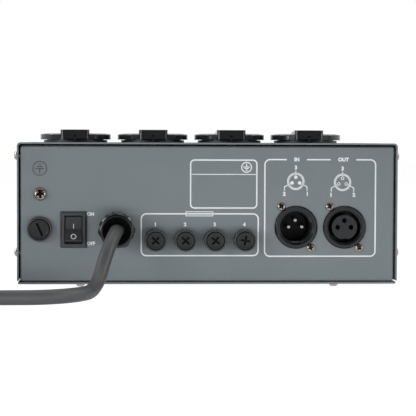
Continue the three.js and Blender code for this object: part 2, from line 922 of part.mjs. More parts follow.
function addFuses() {
  const link = linkGeometry();
  const channelBody = holderGeometry(channelHolder);
  const slotAngles = [[45, -45], [45, -45], [52, -38], [80, -10]];
  const add = (name, kind, body, slots, x, z) => {
    const place = [x, z, kind.proud];
    rear.add(part(`fuse_holder_${name}`, body, blackPlastic, place));
    rear.add(part(`fuse_cap_${name}`, capGeometry(kind, slots), blackPlastic, place));
    rear.add(part(`fuse_link_${name}`, link, ceramic, place));
  };
  add('main', mainHolder, holderGeometry(mainHolder), [-66], mainFuseX, mainFuseZ);
  spread(channelCount, channelFusePitch).forEach((offset, i) => {
    add(`${i + 1}`, channelHolder, channelBody, slotAngles[i], channelFuseX + offset, channelFuseZ);
  });
}

// Signal connectors: a ringed shell held from behind, and an insert with pins or sockets
const earFace = -panelSheet - seat;

function signalShellGeometry(bore, keyed) {
  const ring = turned([
    [0, earFace - earSheet],
    [ringDiameter / 2, earFace - earSheet],
    [ringDiameter / 2, ringProud - ringStep],
    [ringDiameter / 2 - ringStep, ringProud],
    [ringDiameter / 2 - ringStep - ringStepWidth, ringProud],
    [ringDiameter / 2 - 2 * ringStep - ringStepWidth, ringProud - ringStep],
    [0, ringProud - ringStep],
  ], ringSides);
  const barrel = post(signalBarrel, -signalDepth, earFace);
  const ears = slab(rectangle(earWidth, earHeight), earSheet, earFace - earSheet);
  const earLow = earFace - earSheet - overrun;
  const screws = [-1, 1].map((side) => (
    post(screwHole, earLow, overrun, smallSides, side * earScrewX, -side * earScrewZ)
  ));
  const hollow = post(bore, -signalDepth - overrun, ringProud + overrun);
  const cuts = [hollow, ...screws];
  if (keyed) {
    const low = earFace - insertFloor;
    const height = ringProud + overrun - low;
    cuts.push(block(keyWidth, keyDepth * 2, height, 0, -bore / 2, low + height / 2));
  }
  return cut(join(ring, barrel, ears), ...cuts);
}

const contactPlaces = [[-contactCircle, 0], [contactCircle, 0], [0, contactCircle]];

function signalPinsGeometry() {
  const bottom = -signalDepth + insertFloor;
  const disc = post(inletBore - 2 * seat, bottom - insertFloor, bottom);
  const pins = contactPlaces.map(([x, y]) => turned([
    [0, bottom - insertFloor - cupReach],
    [contactPin / 2, bottom - insertFloor - cupReach],
    [contactPin / 2, -pinTipDepth - contactPin / 4],
    [contactPin / 4, -pinTipDepth],
    [0, -pinTipDepth],
  ], smallSides).translate(x, y, 0));
  return join(disc, ...pins);
}

function signalSocketsGeometry() {
  const bottom = -signalDepth + insertFloor;
  const high = ringProud - ringStep;
  const body = turned([
    [0, bottom - insertFloor],
    [outletBore / 2 - seat, bottom - insertFloor],
    [outletBore / 2 - seat, bottom],
    [insertDiameter / 2, bottom],
    [insertDiameter / 2, high - seat],
    [insertDiameter / 2 - seat, high],
    [0, high],
  ]);
  const holes = contactPlaces.map(([x, y]) => (
    post(contactPin + seat, bottom, high + overrun, smallSides, x, y)
  ));
  return cut(body, ...holes);
}

function addSignals() {
  const input = [signalInX, signalZ, 0];
  const output = [signalOutX, signalZ, 0];
  rear.add(part('signal_input_shell', signalShellGeometry(inletBore, true), blackPlastic, input));
  rear.add(part('signal_input_pins', signalPinsGeometry(), blackPlastic, input));
  rear.add(part('signal_output_shell', signalShellGeometry(outletBore, false), blackPlastic, output));
  rear.add(part('signal_output_insert', signalSocketsGeometry(), blackPlastic, output));
}

// Cable gland: a hexagon collar with a threaded tail, a domed clamping nut and a lock nut
function glandBodyGeometry() {
  const hexagon = regular(6, glandCorner, degrees(glandNutTurn + 90));
  const collar = slab(hexagon, glandCollar - seat, seat);
  const thread = turned([
    [0, -glandTail],
    [glandThread / 2, -glandTail],
    [glandThread / 2, glandCollar + glandNose],
    [0, glandCollar + glandNose],
  ]);
  const seal = post(glandThread - glandSeal, -glandTail - overrun, -glandTail + glandSeal);
  return cut(join(collar, thread), seal);
}

function domeNutGeometry() {
  const low = glandCollar + seat;
  const high = low + glandNutLength;
  const hexagon = slab(regular(6, glandCorner, degrees(glandNutTurn + 90)), glandNutLength, low);
  const domeSteps = 4;
  const mouth = glandBore / 2 + seat;
  const dome = Array.from({ length: domeSteps + 1 }, (_, i) => {
    const angle = (i * Math.PI) / 2 / domeSteps;
    const reach = glandCorner + seat - mouth;
    return [
      mouth + reach * Math.cos(angle),
      low + glandShoulder + (glandNutLength - glandShoulder) * Math.sin(angle),
    ];
  });
  const envelope = turned([[0, low], [glandCorner + seat, low], ...dome, [0, high]]);
  const nose = turned([
    [0, low - overrun],
    [glandNutBore / 2 + seat, low - overrun],
    [glandNutBore / 2 + seat, glandCollar + glandNose + seat],
    [glandBore / 2, glandCollar + glandNose + seat + glandSeal],
    [glandBore / 2, high + overrun],
    [0, high + overrun],
  ]);
  return cut(common(hexagon, envelope), nose);
}

function lockNutGeometry() {
  const top = -panelSheet - seat;
  const nut = slab(regular(6, glandCorner), lockNutHeight, top - lockNutHeight);
  return cut(nut, post(glandThread + 2 * seat, top - lockNutHeight - overrun, top + overrun));
}

function addGland() {
  const place = [glandX, glandZ, 0];
  rear.add(part('gland_body', glandBodyGeometry(), blackPlastic, place));
  rear.add(part('gland_dome_nut', domeNutGeometry(), glossBlack, place));
  rear.add(part('gland_lock_nut', lockNutGeometry(), blackPlastic, place));
}

function addEarthScrew() {
  const flat = earthHead * (headFlat / headDiameter);
  const earth = screw(earthHead, earthHeadHeight, flat, earthShank, earthReach);
  rear.add(part('earth_screw', earth, nickel, [earthX, earthZ, seat]));
}

// Front panel: display window, push-buttons and the control board behind them
function windowGeometry() {
  const clear = [windowWidth - 2 * seat, windowHeight - 2 * seat];
  const paneLow = -panelSheet - windowSheet;
  const pane = slab(roundedRectangle(...clear, windowCorner), -paneLow, paneLow);
  const rimLow = paneLow - seat;
  const rim = slab(
    roundedRectangle(windowWidth + 2 * windowLip, windowHeight + 2 * windowLip, windowCorner),
    windowSheet,
    rimLow,
  );
  return join(pane, rim);
}

const boardFace = -controlSetback;
const plungerTop = boardFace + switchBlockHeight;

function buttonGeometry() {
  const collarTop = -panelSheet - seat;
  const collarLow = collarTop - buttonCollarHeight;
  const stemLow = plungerTop + buttonTravel + seat;
  return turned([
    [0, stemLow],
    [buttonStem / 2, stemLow],
    [buttonStem / 2, collarLow],
    [buttonCollar / 2, collarLow],
    [buttonCollar / 2, collarTop],
    [buttonDiameter / 2, collarTop],
    [buttonDiameter / 2, buttonProud - buttonSink],
    [buttonDiameter / 2 - buttonSink, buttonProud],
    [0, buttonProud],
  ], middleSides);
}

function controlBoardGeometry() {
  const middle = (windowX + buttonX) / 2;
  const board = slab(
    rectangle(controlWidth, controlHeight, middle, windowZ),
    boardSheet,
    boardFace - boardSheet,
  );
  const displayTop = -panelSheet - windowSheet - 2 * seat;
  const display = slab(
    rectangle(windowWidth - 2 * windowLip, displayHeight, windowX, windowZ),
    displayTop - boardFace + seat,
    boardFace - seat,
  );
  const switches = spread(buttonCount, buttonPitch).map((offset) => slab(
    rectangle(switchBlock, switchBlock, buttonX + offset, windowZ),
    switchBlockHeight + seat,
    boardFace - seat,
  ));
  const inset = spacerDiameter;
  const spacers = corners(controlWidth / 2 - inset, controlHeight / 2 - inset).map(([x, y]) => (
    post(spacerDiameter, boardFace - seat, -panelSheet - seat, smallSides, x + middle, y + windowZ)
  ));
  return join(board, display, ...switches, ...spacers);
}

function addFront() {
  front.add(part('front_panel', frontPanelGeometry(), caseGrey));
  front.add(part('display_window', windowGeometry(), smokedRed, [windowX, windowZ, 0]));
  front.add(part('control_board', controlBoardGeometry(), boardGreen));
  const button = buttonGeometry();
  spread(buttonCount, buttonPitch).forEach((offset, i) => {
    const place = [buttonX + offset, windowZ, 0];
    front.add(part(`button_${i + 1}`, button, blackPlastic, place));
  });
}

// Power board on spacers, with chokes, a transformer, capacitors and a terminal block
function powerBoardGeometry() {
  const low = plateTop + powerRise;
  const high = low + boardSheet;
  const board = slab(rectangle(powerWidth, powerDepth), boardSheet, low);
  const spacers = corners(powerWidth / 2 - spacerDiameter, powerDepth / 2 - spacerDiameter)
    .map(([x, y]) => post(spacerDiameter, plateTop + seat, high - seat, smallSides, x, y));
  const sunk = high - seat;
  const chokes = spread(channelCount, chokePitch).map((x) => {
    const y = -powerDepth / 2 + chokeDiameter / 2 + spacerDiameter * 2;
    return cut(
      post(chokeDiameter, sunk, high + chokeHeight, middleSides, x, y),
      post(chokeHole, high + chokeHeight / 2, high + chokeHeight + overrun, smallSides, x, y),
    );
  });
  const transformer = slab(
    rectangle(transformerWidth, transformerDepth, -powerWidth / 2 + transformerWidth, 0),
    transformerHeight,
    sunk,
  );
  const capacitors = spread(2, capacitorDiameter * 1.5).map((x) => (
    post(capacitorDiameter, sunk, high + capacitorHeight, smallSides, x, capacitorDiameter / 2)
  ));
  const terminals = slab(
    rectangle(terminalBlockWidth, terminalBlockDepth, powerWidth / 4, capacitorDiameter / 2),
    terminalBlockHeight,
    sunk,
  );
  return join(board, ...spacers, ...chokes, transformer, ...capacitors, terminals);
}

function heatSinkGeometry() {
  const finPitch = (sinkHeight - sinkFinSheet) / (sinkFins - 1);
  const finLength = sinkDepth - sinkBase + seat;
  const base = block(sinkLength, sinkBase, sinkHeight, 0, sinkBase / 2, sinkHeight / 2);
  const fins = Array.from({ length: sinkFins }, (_, i) => block(
    sinkLength,
    finLength,
    sinkFinSheet,
    0,
    sinkBase - seat + finLength / 2,
    sinkFinSheet / 2 + i * finPitch,
  ));
  return join(base, ...fins);
}

function addBoards() {
  const y = frontFace - powerFromFront - powerDepth / 2;
  pack.add(part('power_board', powerBoardGeometry(), boardGreen, [0, y, 0]));
  const boardTop = plateTop + powerRise + boardSheet;
  const sinkY = y + powerDepth / 2 - sinkDepth;
  pack.add(part('heat_sink', heatSinkGeometry(), aluminium, [0, sinkY, boardTop + seat]));
}

// Mains lead, in the pack's own frame: out of the gland, down to the floor and away to a coil
const leadRoute = [
  [-57.6, -81.55, 36.5],
  [-57.6, -87, 36.5],
  [-57.8, -92.5, 36.4],
  [-58.9, -101, 34.9],
  [-61, -109.5, 30.6],
  [-63.3, -116.6, 25],
  [-65.2, -122, 19.4],
  [-66.9, -127.6, 13.9],
  [-68.7, -134.2, 9.1],
  [-70.9, -142, 5.9],
  [-73.4, -150.5, 4.45],
  [-76.7, -159, 4.3],
  [-82.5, -168.2, 4.3],
  [-91.5, -176.3, 4.3],
  [-102.5, -181, 4.3],
  [-115, -182, 4.3],
  [-135, -182, 4.3],
  [-160, -182, 4.3],
  [-183.2, -182, 4.3],
];

function leadGeometry() {
  const points = leadRoute.map(([x, y, z]) => new THREE.Vector3(x, y, z));
  const path = new THREE.CatmullRomCurve3(points, false, 'centripetal');
  const section = regular(cordSides, cordDiameter / 2, Math.PI / 2);
  const settings = { steps: cordSteps, extrudePath: path, bevelEnabled: false };
  return new THREE.ExtrudeGeometry(section, settings);
}

// The coil winds inwards on the floor and outwards again on top of itself, climbing as it turns
function coilPoint(turn) {
  const middle = coilTurns / 2;
  const radius = coilRadius - coilPitch * Math.min(turn, coilTurns - turn);
  const [first, last] = [middle - coilClimbTurns / 2, middle + coilClimbTurns / 2];
  const climbed = THREE.MathUtils.smoothstep(turn, first, last);
  const angle = -Math.PI / 2 - turn * 2 * Math.PI;
  const height = cordHeight + coilPitch * climbed;
  return new THREE.Vector3(radius * Math.cos(angle), radius * Math.sin(angle), height)
    .add(new THREE.Vector3(coilX, coilY, 0));
}

function coilPath() {
  const steps = Math.round(coilTurns * coilStepsPerTurn);
  const turns = Array.from({ length: steps + 1 }, (_, i) => coilPoint((i * coilTurns) / steps));
  const start = turns[0].clone().add(new THREE.Vector3(cordDiameter, 0, 0));
  const last = turns[steps];
  const tail = Array.from({ length: tailSteps }, (_, i) => {
    const share = (i + 1) / tailSteps;
    const rise = (plugAxis - last.z) * THREE.MathUtils.smoothstep(share, 0, 1 - 1 / tailSteps);
    return last.clone().add(new THREE.Vector3(0, tailLength * share, rise));
  });
  return [start, ...turns, ...tail];
}

// A tube through points: rings of vertices square to the path, closed by two end fans
function tubeGeometry(points, radius, sides) {
  const up = new THREE.Vector3(0, 0, 1);
  const places = [];
  points.forEach((point, i) => {
    const before = points[Math.max(i - 1, 0)];
    const after = points[Math.min(i + 1, points.length - 1)];
    const ahead = after.clone().sub(before).normalize();
    const side = ahead.clone().cross(up).normalize();
    const above = side.clone().cross(ahead);
    for (let k = 0; k < sides; k += 1) {
      const angle = Math.PI / 2 + (k * 2 * Math.PI) / sides;
      const spot = point.clone()
        .addScaledVector(side, radius * Math.cos(angle))
        .addScaledVector(above, radius * Math.sin(angle));
      places.push(spot.x, spot.y, spot.z);
    }
  });
  const faces = [];
  for (let i = 0; i < points.length - 1; i += 1) {
    for (let k = 0; k < sides; k += 1) {
      const [a, b] = [i * sides + k, i * sides + ((k + 1) % sides)];
      faces.push(a, a + sides, b, b, a + sides, b + sides);
    }
  }
  const end = (points.length - 1) * sides;
  for (let k = 1; k < sides - 1; k += 1) {
    faces.push(0, k, k + 1, end, end + k + 1, end + k);
  }
  const geometry = new THREE.BufferGeometry();
  geometry.setAttribute('position', new THREE.Float32BufferAttribute(places, 3));
  return geometry.setIndex(faces);
}

function pathLength(points) {
  return points.slice(1).reduce((sum, point, i) => sum + point.distanceTo(points[i]), 0);
}

function leastGap(points) {
  const apart = coilStepsPerTurn / 2;
  let least = Infinity;
  points.forEach((point, i) => {
    for (let j = i + apart; j < points.length; j += 1) {
      least = Math.min(least, point.distanceTo(points[j]) - cordDiameter);
    }
  });
  return least;
}

// Plug: a round moulded head with two earth grooves, two pins and a tapered strain relief
function plugGeometry() {
  const waistEnd = plugReliefLength;
  const rimStart = waistEnd + plugGripLength;
  const face = rimStart + plugRimLength;
  const body = turned([
    [0, 0],
    [plugRelief / 2, 0],
    [plugWaist / 2, waistEnd],
    [plugGrip / 2, rimStart],
    [plugRim / 2, rimStart + seat],
    [plugRim / 2, face - seat],
    [plugRim / 2 - seat, face],
    [0, face],
  ]);
  const flank = plugRim / 2 - plugSideWidth / 2 + overrun;
  const grooveLength = plugRimLength + overrun;
  const grooves = [-1, 1].map((side) => {
    const middle = side * (plugSideWidth / 2 + flank / 2);
    const high = face + overrun - grooveLength / 2;
    return block(plugEarthSlot, flank, grooveLength, 0, middle, high);
  });
  const pins = [-1, 1].map((side) => {
    const tip = face + plugPinLength;
    return turned([
      [0, face - overrun],
      [plugPin / 2, face - overrun],
      [plugPin / 2, tip - plugPin / 2],
      [plugPin / 4, tip],
      [0, tip],
    ], smallSides).translate((side * pinSpacing) / 2, 0, 0);
  });
  return join(cut(body, ...grooves), ...pins);
}

function addMainsLead() {
  const coil = coilPath();
  const lead = part('mains_cord', leadGeometry(), rubberBlack);
  const wound = part('mains_cord_coil', tubeGeometry(coil, cordDiameter / 2, coilSides), rubberBlack);
  const end = coil[coil.length - 1];
  const plug = part('mains_plug', plugGeometry(), blackPlastic, [end.x, end.y + seat, end.z]);
  plug.rotation.x = -Math.PI / 2;
  dimmerPack.add(lead, wound, plug);
  const wanted = [pathLength(coil).toFixed(0), leastGap(coil).toFixed(2)];
  console.log(`coil: ${wanted[0]} mm of lead, least gap ${wanted[1]} mm`);
}

// The whole pack
pack.add(part('top_cover', coverGeometry(), caseGrey));
pack.add(part('bottom_plate', plateGeometry(), caseGrey));
rear.add(part('rear_panel', rearPanelGeometry(), caseGrey));
addSideScrews();
addOutlets();
addSwitch();
addFuses();
addSignals();
addGland();
addEarthScrew();
addFront();
addBoards();
addMainsLead();

export default dimmerPack;
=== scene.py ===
# %% [markdown]
# A stage dimmer pack, dressed for its portrait. The real thing is a folded steel case with
# four mains outlets on its lid, and fuses, a rocker switch, a cord and two round signal
# connectors on its rear panel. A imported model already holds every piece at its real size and
# place. This lesson rebuilds those pieces with finer curves, or keeps them, and gives each one
# a finish made of nodes. All lengths are metres, the rear panel faces -Y, the floor is at zero.

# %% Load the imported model
import math

import bmesh
import bpy
from mathutils import Matrix, Vector


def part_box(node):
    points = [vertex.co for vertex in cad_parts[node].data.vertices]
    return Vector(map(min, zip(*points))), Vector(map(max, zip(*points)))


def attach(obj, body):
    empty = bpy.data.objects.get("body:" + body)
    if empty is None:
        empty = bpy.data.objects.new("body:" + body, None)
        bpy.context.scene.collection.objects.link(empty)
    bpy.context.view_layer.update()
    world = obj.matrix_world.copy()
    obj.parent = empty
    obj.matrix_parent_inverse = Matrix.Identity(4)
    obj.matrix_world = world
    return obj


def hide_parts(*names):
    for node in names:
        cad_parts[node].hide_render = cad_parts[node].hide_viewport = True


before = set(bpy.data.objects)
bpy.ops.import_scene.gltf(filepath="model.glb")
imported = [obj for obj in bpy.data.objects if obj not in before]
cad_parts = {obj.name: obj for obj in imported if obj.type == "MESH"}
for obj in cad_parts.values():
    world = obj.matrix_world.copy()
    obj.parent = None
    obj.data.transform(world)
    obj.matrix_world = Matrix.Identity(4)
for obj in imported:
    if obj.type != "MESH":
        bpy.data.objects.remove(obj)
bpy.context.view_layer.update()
mm = 0.001
print("packed nodes:", len(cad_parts))

# %% [markdown]
# The camera. A lens far from the subject flattens it, as in a catalogue picture. It could be
# aimed with a constraint, but a matrix built from three angles says plainly how the camera
# stands: turned a little to the right, pitched down a little, and rolled by a hair.

# %% Make the camera
camera_place = Vector((-56.46, -1088.38, 92.47)) * mm
camera_turn = math.radians(3.17)
camera_pitch = math.radians(2.385)
camera_roll = math.radians(0.195)
camera_lens = 139.885
camera_sensor = 36.0
camera_near = 0.05

ahead = Vector((
    math.sin(camera_turn) * math.cos(camera_pitch),
    math.cos(camera_turn) * math.cos(camera_pitch),
    -math.sin(camera_pitch),
))
camera = bpy.data.objects.new("camera", bpy.data.cameras.new("camera"))
camera.data.lens = camera_lens
camera.data.sensor_width = camera_sensor
camera.data.clip_start = camera_near
aim = ahead.to_track_quat("-Z", "Y").to_matrix().to_4x4()
camera.matrix_world = Matrix.Translation(camera_place) @ aim @ Matrix.Rotation(camera_roll, 4, "Z")
bpy.context.scene.collection.objects.link(camera)
bpy.context.scene.camera = camera
bpy.context.scene.view_settings.view_transform = "Standard"
print("camera looks along", [round(part, 3) for part in ahead])

# %% [markdown]
# The mains lead. It is one stiff rubber cord, so it becomes one curve: straight out of its
# gland, down under its own weight, along the floor and into a neat coil that lies outside the
# picture. The free stretch is a list of given points. The coil comes from a formula:
# the lead winds inwards on the floor, climbs on top of itself and winds outwards again.

# %% Lay the mains lead
lead_diameter = 8.5 * mm
lead_route = [
    (-57.6, -81.55, 36.5),
    (-57.6, -87, 36.5),
    (-57.8, -92.5, 36.4),
    (-58.9, -101, 34.9),
    (-61, -109.5, 30.6),
    (-63.3, -116.6, 25),
    (-65.2, -122, 19.4),
    (-66.9, -127.6, 13.9),
    (-68.7, -134.2, 9.1),
    (-70.9, -142, 5.9),
    (-73.4, -150.5, 4.45),
    (-76.7, -159, 4.3),
    (-82.5, -168.2, 4.3),
    (-91.5, -176.3, 4.3),
    (-102.5, -181, 4.3),
    (-115, -182, 4.3),
    (-135, -182, 4.3),
    (-160, -182, 4.3),
]
coil_middle = Vector((-192, -126, 4.3)) * mm
coil_radius = 56 * mm
coil_pitch = 9 * mm
coil_turns = 4.25
coil_climb_turns = 0.5
coil_steps = 102
tail_length = 42 * mm
tail_steps = 6
tail_height = 18.4 * mm


def smooth(value, low, high):
    """A soft step from 0 at low to 1 at high."""
    share = min(1, max(0, (value - low) / (high - low)))
    return share * share * (3 - 2 * share)


def coil_point(turn):
    radius = coil_radius - coil_pitch * min(turn, coil_turns - turn)
    middle = coil_turns / 2
    half = coil_climb_turns / 2
    angle = -math.pi / 2 - turn * math.tau
    around = Vector((radius * math.cos(angle), radius * math.sin(angle), 0))
    rise = coil_pitch * smooth(turn, middle - half, middle + half)
    return coil_middle + around + Vector((0, 0, rise))


coil = [coil_point(coil_turns * step / coil_steps) for step in range(coil_steps + 1)]
tail = []
for step in range(1, tail_steps + 1):
    share = step / tail_steps
    rise = (tail_height - coil[-1].z) * smooth(share, 0, 1 - 1 / tail_steps)
    tail.append(coil[-1] + Vector((0, tail_length * share, rise)))
lead_points = [Vector(point) * mm for point in lead_route] + coil + tail

lead_curve = bpy.data.curves.new("mains_lead", "CURVE")
lead_curve.dimensions = "3D"
lead_curve.bevel_depth = lead_diameter / 2
lead_curve.bevel_resolution = 7
lead_curve.resolution_u = 6
lead_curve.use_fill_caps = True
spline = lead_curve.splines.new("BEZIER")
spline.bezier_points.add(len(lead_points) - 1)
for knot, point in zip(spline.bezier_points, lead_points):
    knot.co = point
    knot.handle_left_type = "AUTO"
    knot.handle_right_type = "AUTO"
mains_lead = bpy.data.objects.new("mains_lead", lead_curve)
bpy.context.scene.collection.objects.link(mains_lead)
lead_chords = sum((b - a).length for a, b in zip(lead_points, lead_points[1:]))
print("lead:", len(lead_points), "points,", round(lead_chords, 3), "m along its chords")

# %% [markdown]
# Finishes. Every surface here is a Principled shader whose colour, roughness and bump come
# from noise in the piece's own space. Wiring nodes by hand hides the sums, so one small class
# wraps an output socket and lets Python operators add the Math nodes. A bench then makes any
# other node from its type, its settings and its sockets, and a finish is a bench for a material.

# %% Write shader sums as Python
class Wire:
    """One output socket, used in sums like a number."""

    def __init__(self, socket):
        self.socket = socket

    def math(self, operation, first, second):
        tree = self.socket.id_data
        made = tree.nodes.new("ShaderNodeMath")
        made.operation = operation
        plug_in(tree, made.inputs[0], first)
        plug_in(tree, made.inputs[1], second)
        return Wire(made.outputs[0])

    def __add__(self, other):
        return self.math("ADD", self, other)

    def __radd__(self, other):
        return self.math("ADD", other, self)

    def __sub__(self, other):
        return self.math("SUBTRACT", self, other)

    def __rsub__(self, other):
        return self.math("SUBTRACT", other, self)

    def __mul__(self, other):
        return self.math("MULTIPLY", self, other)

    def __rmul__(self, other):
        return self.math("MULTIPLY", other, self)

    def __gt__(self, other):
        return self.math("GREATER_THAN", self, other)

    def __lt__(self, other):
        return self.math("LESS_THAN", self, other)


def plug_in(tree, socket, value):
    """Gives a socket a link, if the value is a wire, or else a plain value."""
    if isinstance(value, Wire):
        tree.links.new(value.socket, socket)
    else:
        socket.default_value = value


print("a wire adds, takes away, multiplies and compares, on either side of a number")


# %% Make nodes of every other kind
class Bench:
    """An emptied node tree, and one method for every kind of node in it."""

    def __init__(self, owner):
        owner.use_nodes = True
        self.tree = owner.node_tree
        self.tree.nodes.clear()

    def node(self, kind, settings, sockets, output=0):
        """Adds a node: its settings first, then its sockets' values or links."""
        made = self.tree.nodes.new("ShaderNode" + kind)
        for name, value in settings.items():
            setattr(made, name, value)
        for name, value in sockets.items():
            plug_in(self.tree, made.inputs[name], value)
        return Wire(made.outputs[output]) if made.outputs else made


class Finish(Bench):
    """A material being made, and the name of a slot, which is kept but not used."""

    def __init__(self, name, slot):
        self.slot = slot
        self.material = bpy.data.materials.new(name)
        super().__init__(self.material)

    def own_space(self):
        """A place on the piece, measured along the piece's own axes."""
        return self.node("TexCoord", {}, {}, "Object")

    def along(self, axis):
        """How far a place lies along one of those axes."""
        return self.node("SeparateXYZ", {}, {"Vector": self.own_space()}, axis)

    def noise(self, scale, detail=2, roughness=0.5, stretch=(1, 1, 1)):
        """Noise in the piece's own space, from 0 to 1: scale is in lumps for each metre."""
        mapped = self.node("Mapping", {}, {"Vector": self.own_space(), "Scale": stretch})
        sockets = {"Vector": mapped, "Scale": scale, "Detail": detail, "Roughness": roughness}
        return self.node("TexNoise", {}, sockets)

    def mixed(self, share, first, second):
        """A colour between two others."""
        return self.node("Mix", {"data_type": "RGBA"}, {0: share, 6: first, 7: second}, 2)

    def bump(self, height, strength, distance):
        sockets = {"Strength": strength, "Distance": distance, "Height": height}
        return self.node("Bump", {}, sockets, "Normal")

    def finished(self, sockets):
        """Ends the material with a Principled shader and reports it."""
        shader = self.node("BsdfPrincipled", {}, sockets)
        self.node("OutputMaterial", {}, {"Surface": shader})
        print("finish:", self.material.name, "with", len(self.tree.nodes), "nodes")
        return self


def linear(level):
    """A screen's level, 0 to 255, as the linear share of light that a shader works with."""
    share = level / 255
    return share / 12.92 if share <= 0.04045 else ((share + 0.055) / 1.055) ** 2.4


def colour(red, green, blue):
    return (linear(red), linear(green), linear(blue), 1)


print("a screen's middle grey in a shader:", round(linear(128), 3))

# %% [markdown]
# Powder coat. The case is steel under a baked powder: a satin grey whose skin is slightly
# pebbled, with a soft mottle that shows only across a broad, evenly lit face. Two sizes of
# noise vary the colour by a few levels, and a fine one raises the skin.

# %% Finish for the case
def powder_coat():
    made = Finish("powder_coat", "case_paint")
    cloud = made.noise(45, 3)
    speck = made.noise(900, 2)
    shade = cloud * 0.55 + speck * 0.45
    skin = made.noise(1500, 2, 0.6)
    return made.finished({
        "Base Color": made.mixed(shade, colour(110, 118, 122), colour(122, 130, 134)),
        "Roughness": 0.4 + speck * 0.12,
        "Normal": made.bump(skin, 0.25, 0.08 * mm),
    })


case_paint = powder_coat()

# %% [markdown]
# Plastics and rubber. Moulded black plastic is not pure black: it carries a fine grain that
# catches light, and it is greyer where it is matte. One function serves every such part, with
# two colours, the roughness and the grain's fineness and depth as its settings. The gland is
# nylon with a polished skin, so it is the blackest and the smoothest. The cord's rubber jacket
# is greyer and duller. The bottom of a deep socket is painted almost black, as its shade.

# %% Finishes for plastic and rubber
def moulded(name, dark, light, roughness, grain, depth, slot="black_plastic"):
    """Moulded plastic or rubber. The grain is in grains for each metre, and its depth in mm."""
    made = Finish(name, slot)
    cloud = made.noise(120, 2)
    skin = made.noise(grain, 2, 0.6)
    return made.finished({
        "Base Color": made.mixed(cloud * 0.6 + skin * 0.4, colour(*dark), colour(*light)),
        "Roughness": roughness + (skin - 0.5) * 0.12,
        "Normal": made.bump(skin, 0.3, depth * mm),
    })


black_plastic = moulded("black_plastic", (27, 29, 31), (35, 37, 39), 0.42, 2600, 0.04)
outlet_plastic = moulded("outlet_plastic", (27, 29, 31), (34, 36, 38), 0.2, 1800, 0.01)
gland_nylon = moulded("gland_nylon", (9, 10, 11), (14, 15, 16), 0.11, 900, 0.01, "gloss_black")
cord_rubber = moulded("cord_rubber", (48, 50, 52), (58, 60, 61), 0.5, 2200, 0.03, "cord_rubber")

# %% [markdown]
# Metals. Screws and contacts are plated, so they are fully metallic, and what varies is the
# roughness: turning leaves fine rings, and handling leaves soft smears. The rings come from
# noise squeezed along the piece's axis. In the cross recess of a screw, within a short distance
# of the axis, the plating is painted dark and dull as shade.

# %% Finishes for metal
ring_squeeze = (1, 1, 6)


def plated(name, dark, light, roughness, grain, slot="nickel"):
    made = Finish(name, slot)
    smear = made.noise(260, 3)
    rings = made.noise(grain, 2, 0.5, ring_squeeze)
    return made.finished({
        "Base Color": made.mixed(smear, colour(*dark), colour(*light)),
        "Roughness": roughness + (rings - 0.5) * 0.14,
        "Metallic": 1.0,
        "Normal": made.bump(rings, 0.12, 0.03 * mm),
    })


def screw_metal(name, height, recess):
    """Bright plating, with painted shade, dark and dull, in the cross recess of a head."""
    made = Finish(name, "nickel")
    up = made.along("Z")
    across = made.node("VectorMath", {"operation": "MULTIPLY"}, {0: made.own_space(), 1: (1, 1, 0)})
    off_axis = made.node("VectorMath", {"operation": "LENGTH"}, {0: across}, "Value")
    edge = 0.2 * mm
    # Painted shade: near the axis, inside the recess, the plating is dark and dull.
    recess_shade = (off_axis < recess * 0.56) * (up < height - edge) * (up > edge)
    smear = made.noise(260, 3)
    plating = made.mixed(smear, colour(160, 151, 144), colour(192, 184, 177))
    return made.finished({
        "Base Color": made.mixed(recess_shade, plating, colour(40, 36, 33)),
        "Roughness": 0.2 + recess_shade * 0.3 + smear * 0.05,
        "Metallic": 1.0,
        "Normal": made.bump(made.noise(3000, 2, 0.5, ring_squeeze), 0.1, 0.02 * mm),
    })


nickel = plated("nickel", (178, 169, 162), (208, 201, 194), 0.16, 3000)

# %% [markdown]
# Ink. The print on the panel is white and a little worn, so fine noise moves its colour and
# its roughness by a few levels.

# %% Finish for the print
def white_ink():
    made = Finish("white_ink", "case_paint")
    wear = made.noise(1400, 3)
    return made.finished({
        "Base Color": made.mixed(wear, colour(216, 221, 224), colour(240, 243, 245)),
        "Roughness": 0.45 + wear * 0.1,
        "Normal": made.bump(wear, 0.1, 0.02 * mm),
    })


ink = white_ink()

# %% [markdown]
# Shapes. Machine parts are mostly outlines that are turned about an axis or pushed along one,
# then drilled. Blender's primitives would leave sharp corners, so one helper rounds every
# corner of an outline with an arc before it is used. Holes are cut with exact booleans, and
# the result is applied, so that each piece ends as one plain mesh.


# %% Outlines and their rounded corners
smallest = 1e-7


def rounded(points, radius=0.0, closed=True, steps=4):
    """The outline with arcs at its corners. A point may carry a radius of its own."""
    made = []
    for i, point in enumerate(points):
        here = Vector(point[:2])
        own = point[2] if len(point) > 2 else radius
        back = Vector(points[i - 1][:2]) - here
        on = Vector(points[(i + 1) % len(points)][:2]) - here
        at_end = not closed and i in (0, len(points) - 1)
        if own <= 0 or at_end or min(back.length, on.length) == 0:
            made.append(tuple(here))
            continue
        opening = back.angle(on)
        reach = min(own / math.tan(opening / 2), back.length / 2, on.length / 2)
        arc = reach * math.tan(opening / 2)
        if reach < smallest or opening > math.pi - 0.01:
            made.append(tuple(here))
            continue
        inwards = (back.normalized() + on.normalized()).normalized()
        middle = here + inwards * (arc / math.sin(opening / 2))
        first = here + back.normalized() * reach - middle
        last = here + on.normalized() * reach - middle
        sweep = math.atan2(first.x * last.y - first.y * last.x, first.dot(last))
        for step in range(steps + 1):
            turn = Matrix.Rotation(sweep * step / steps, 2)
            made.append(tuple(middle + turn @ first))
    return made


def rectangle(width, height, corner=0.0, x=0.0, y=0.0, steps=4):
    left, right = x - width / 2, x + width / 2
    low, high = y - height / 2, y + height / 2
    return rounded([(left, low), (right, low), (right, high), (left, high)], corner, steps=steps)


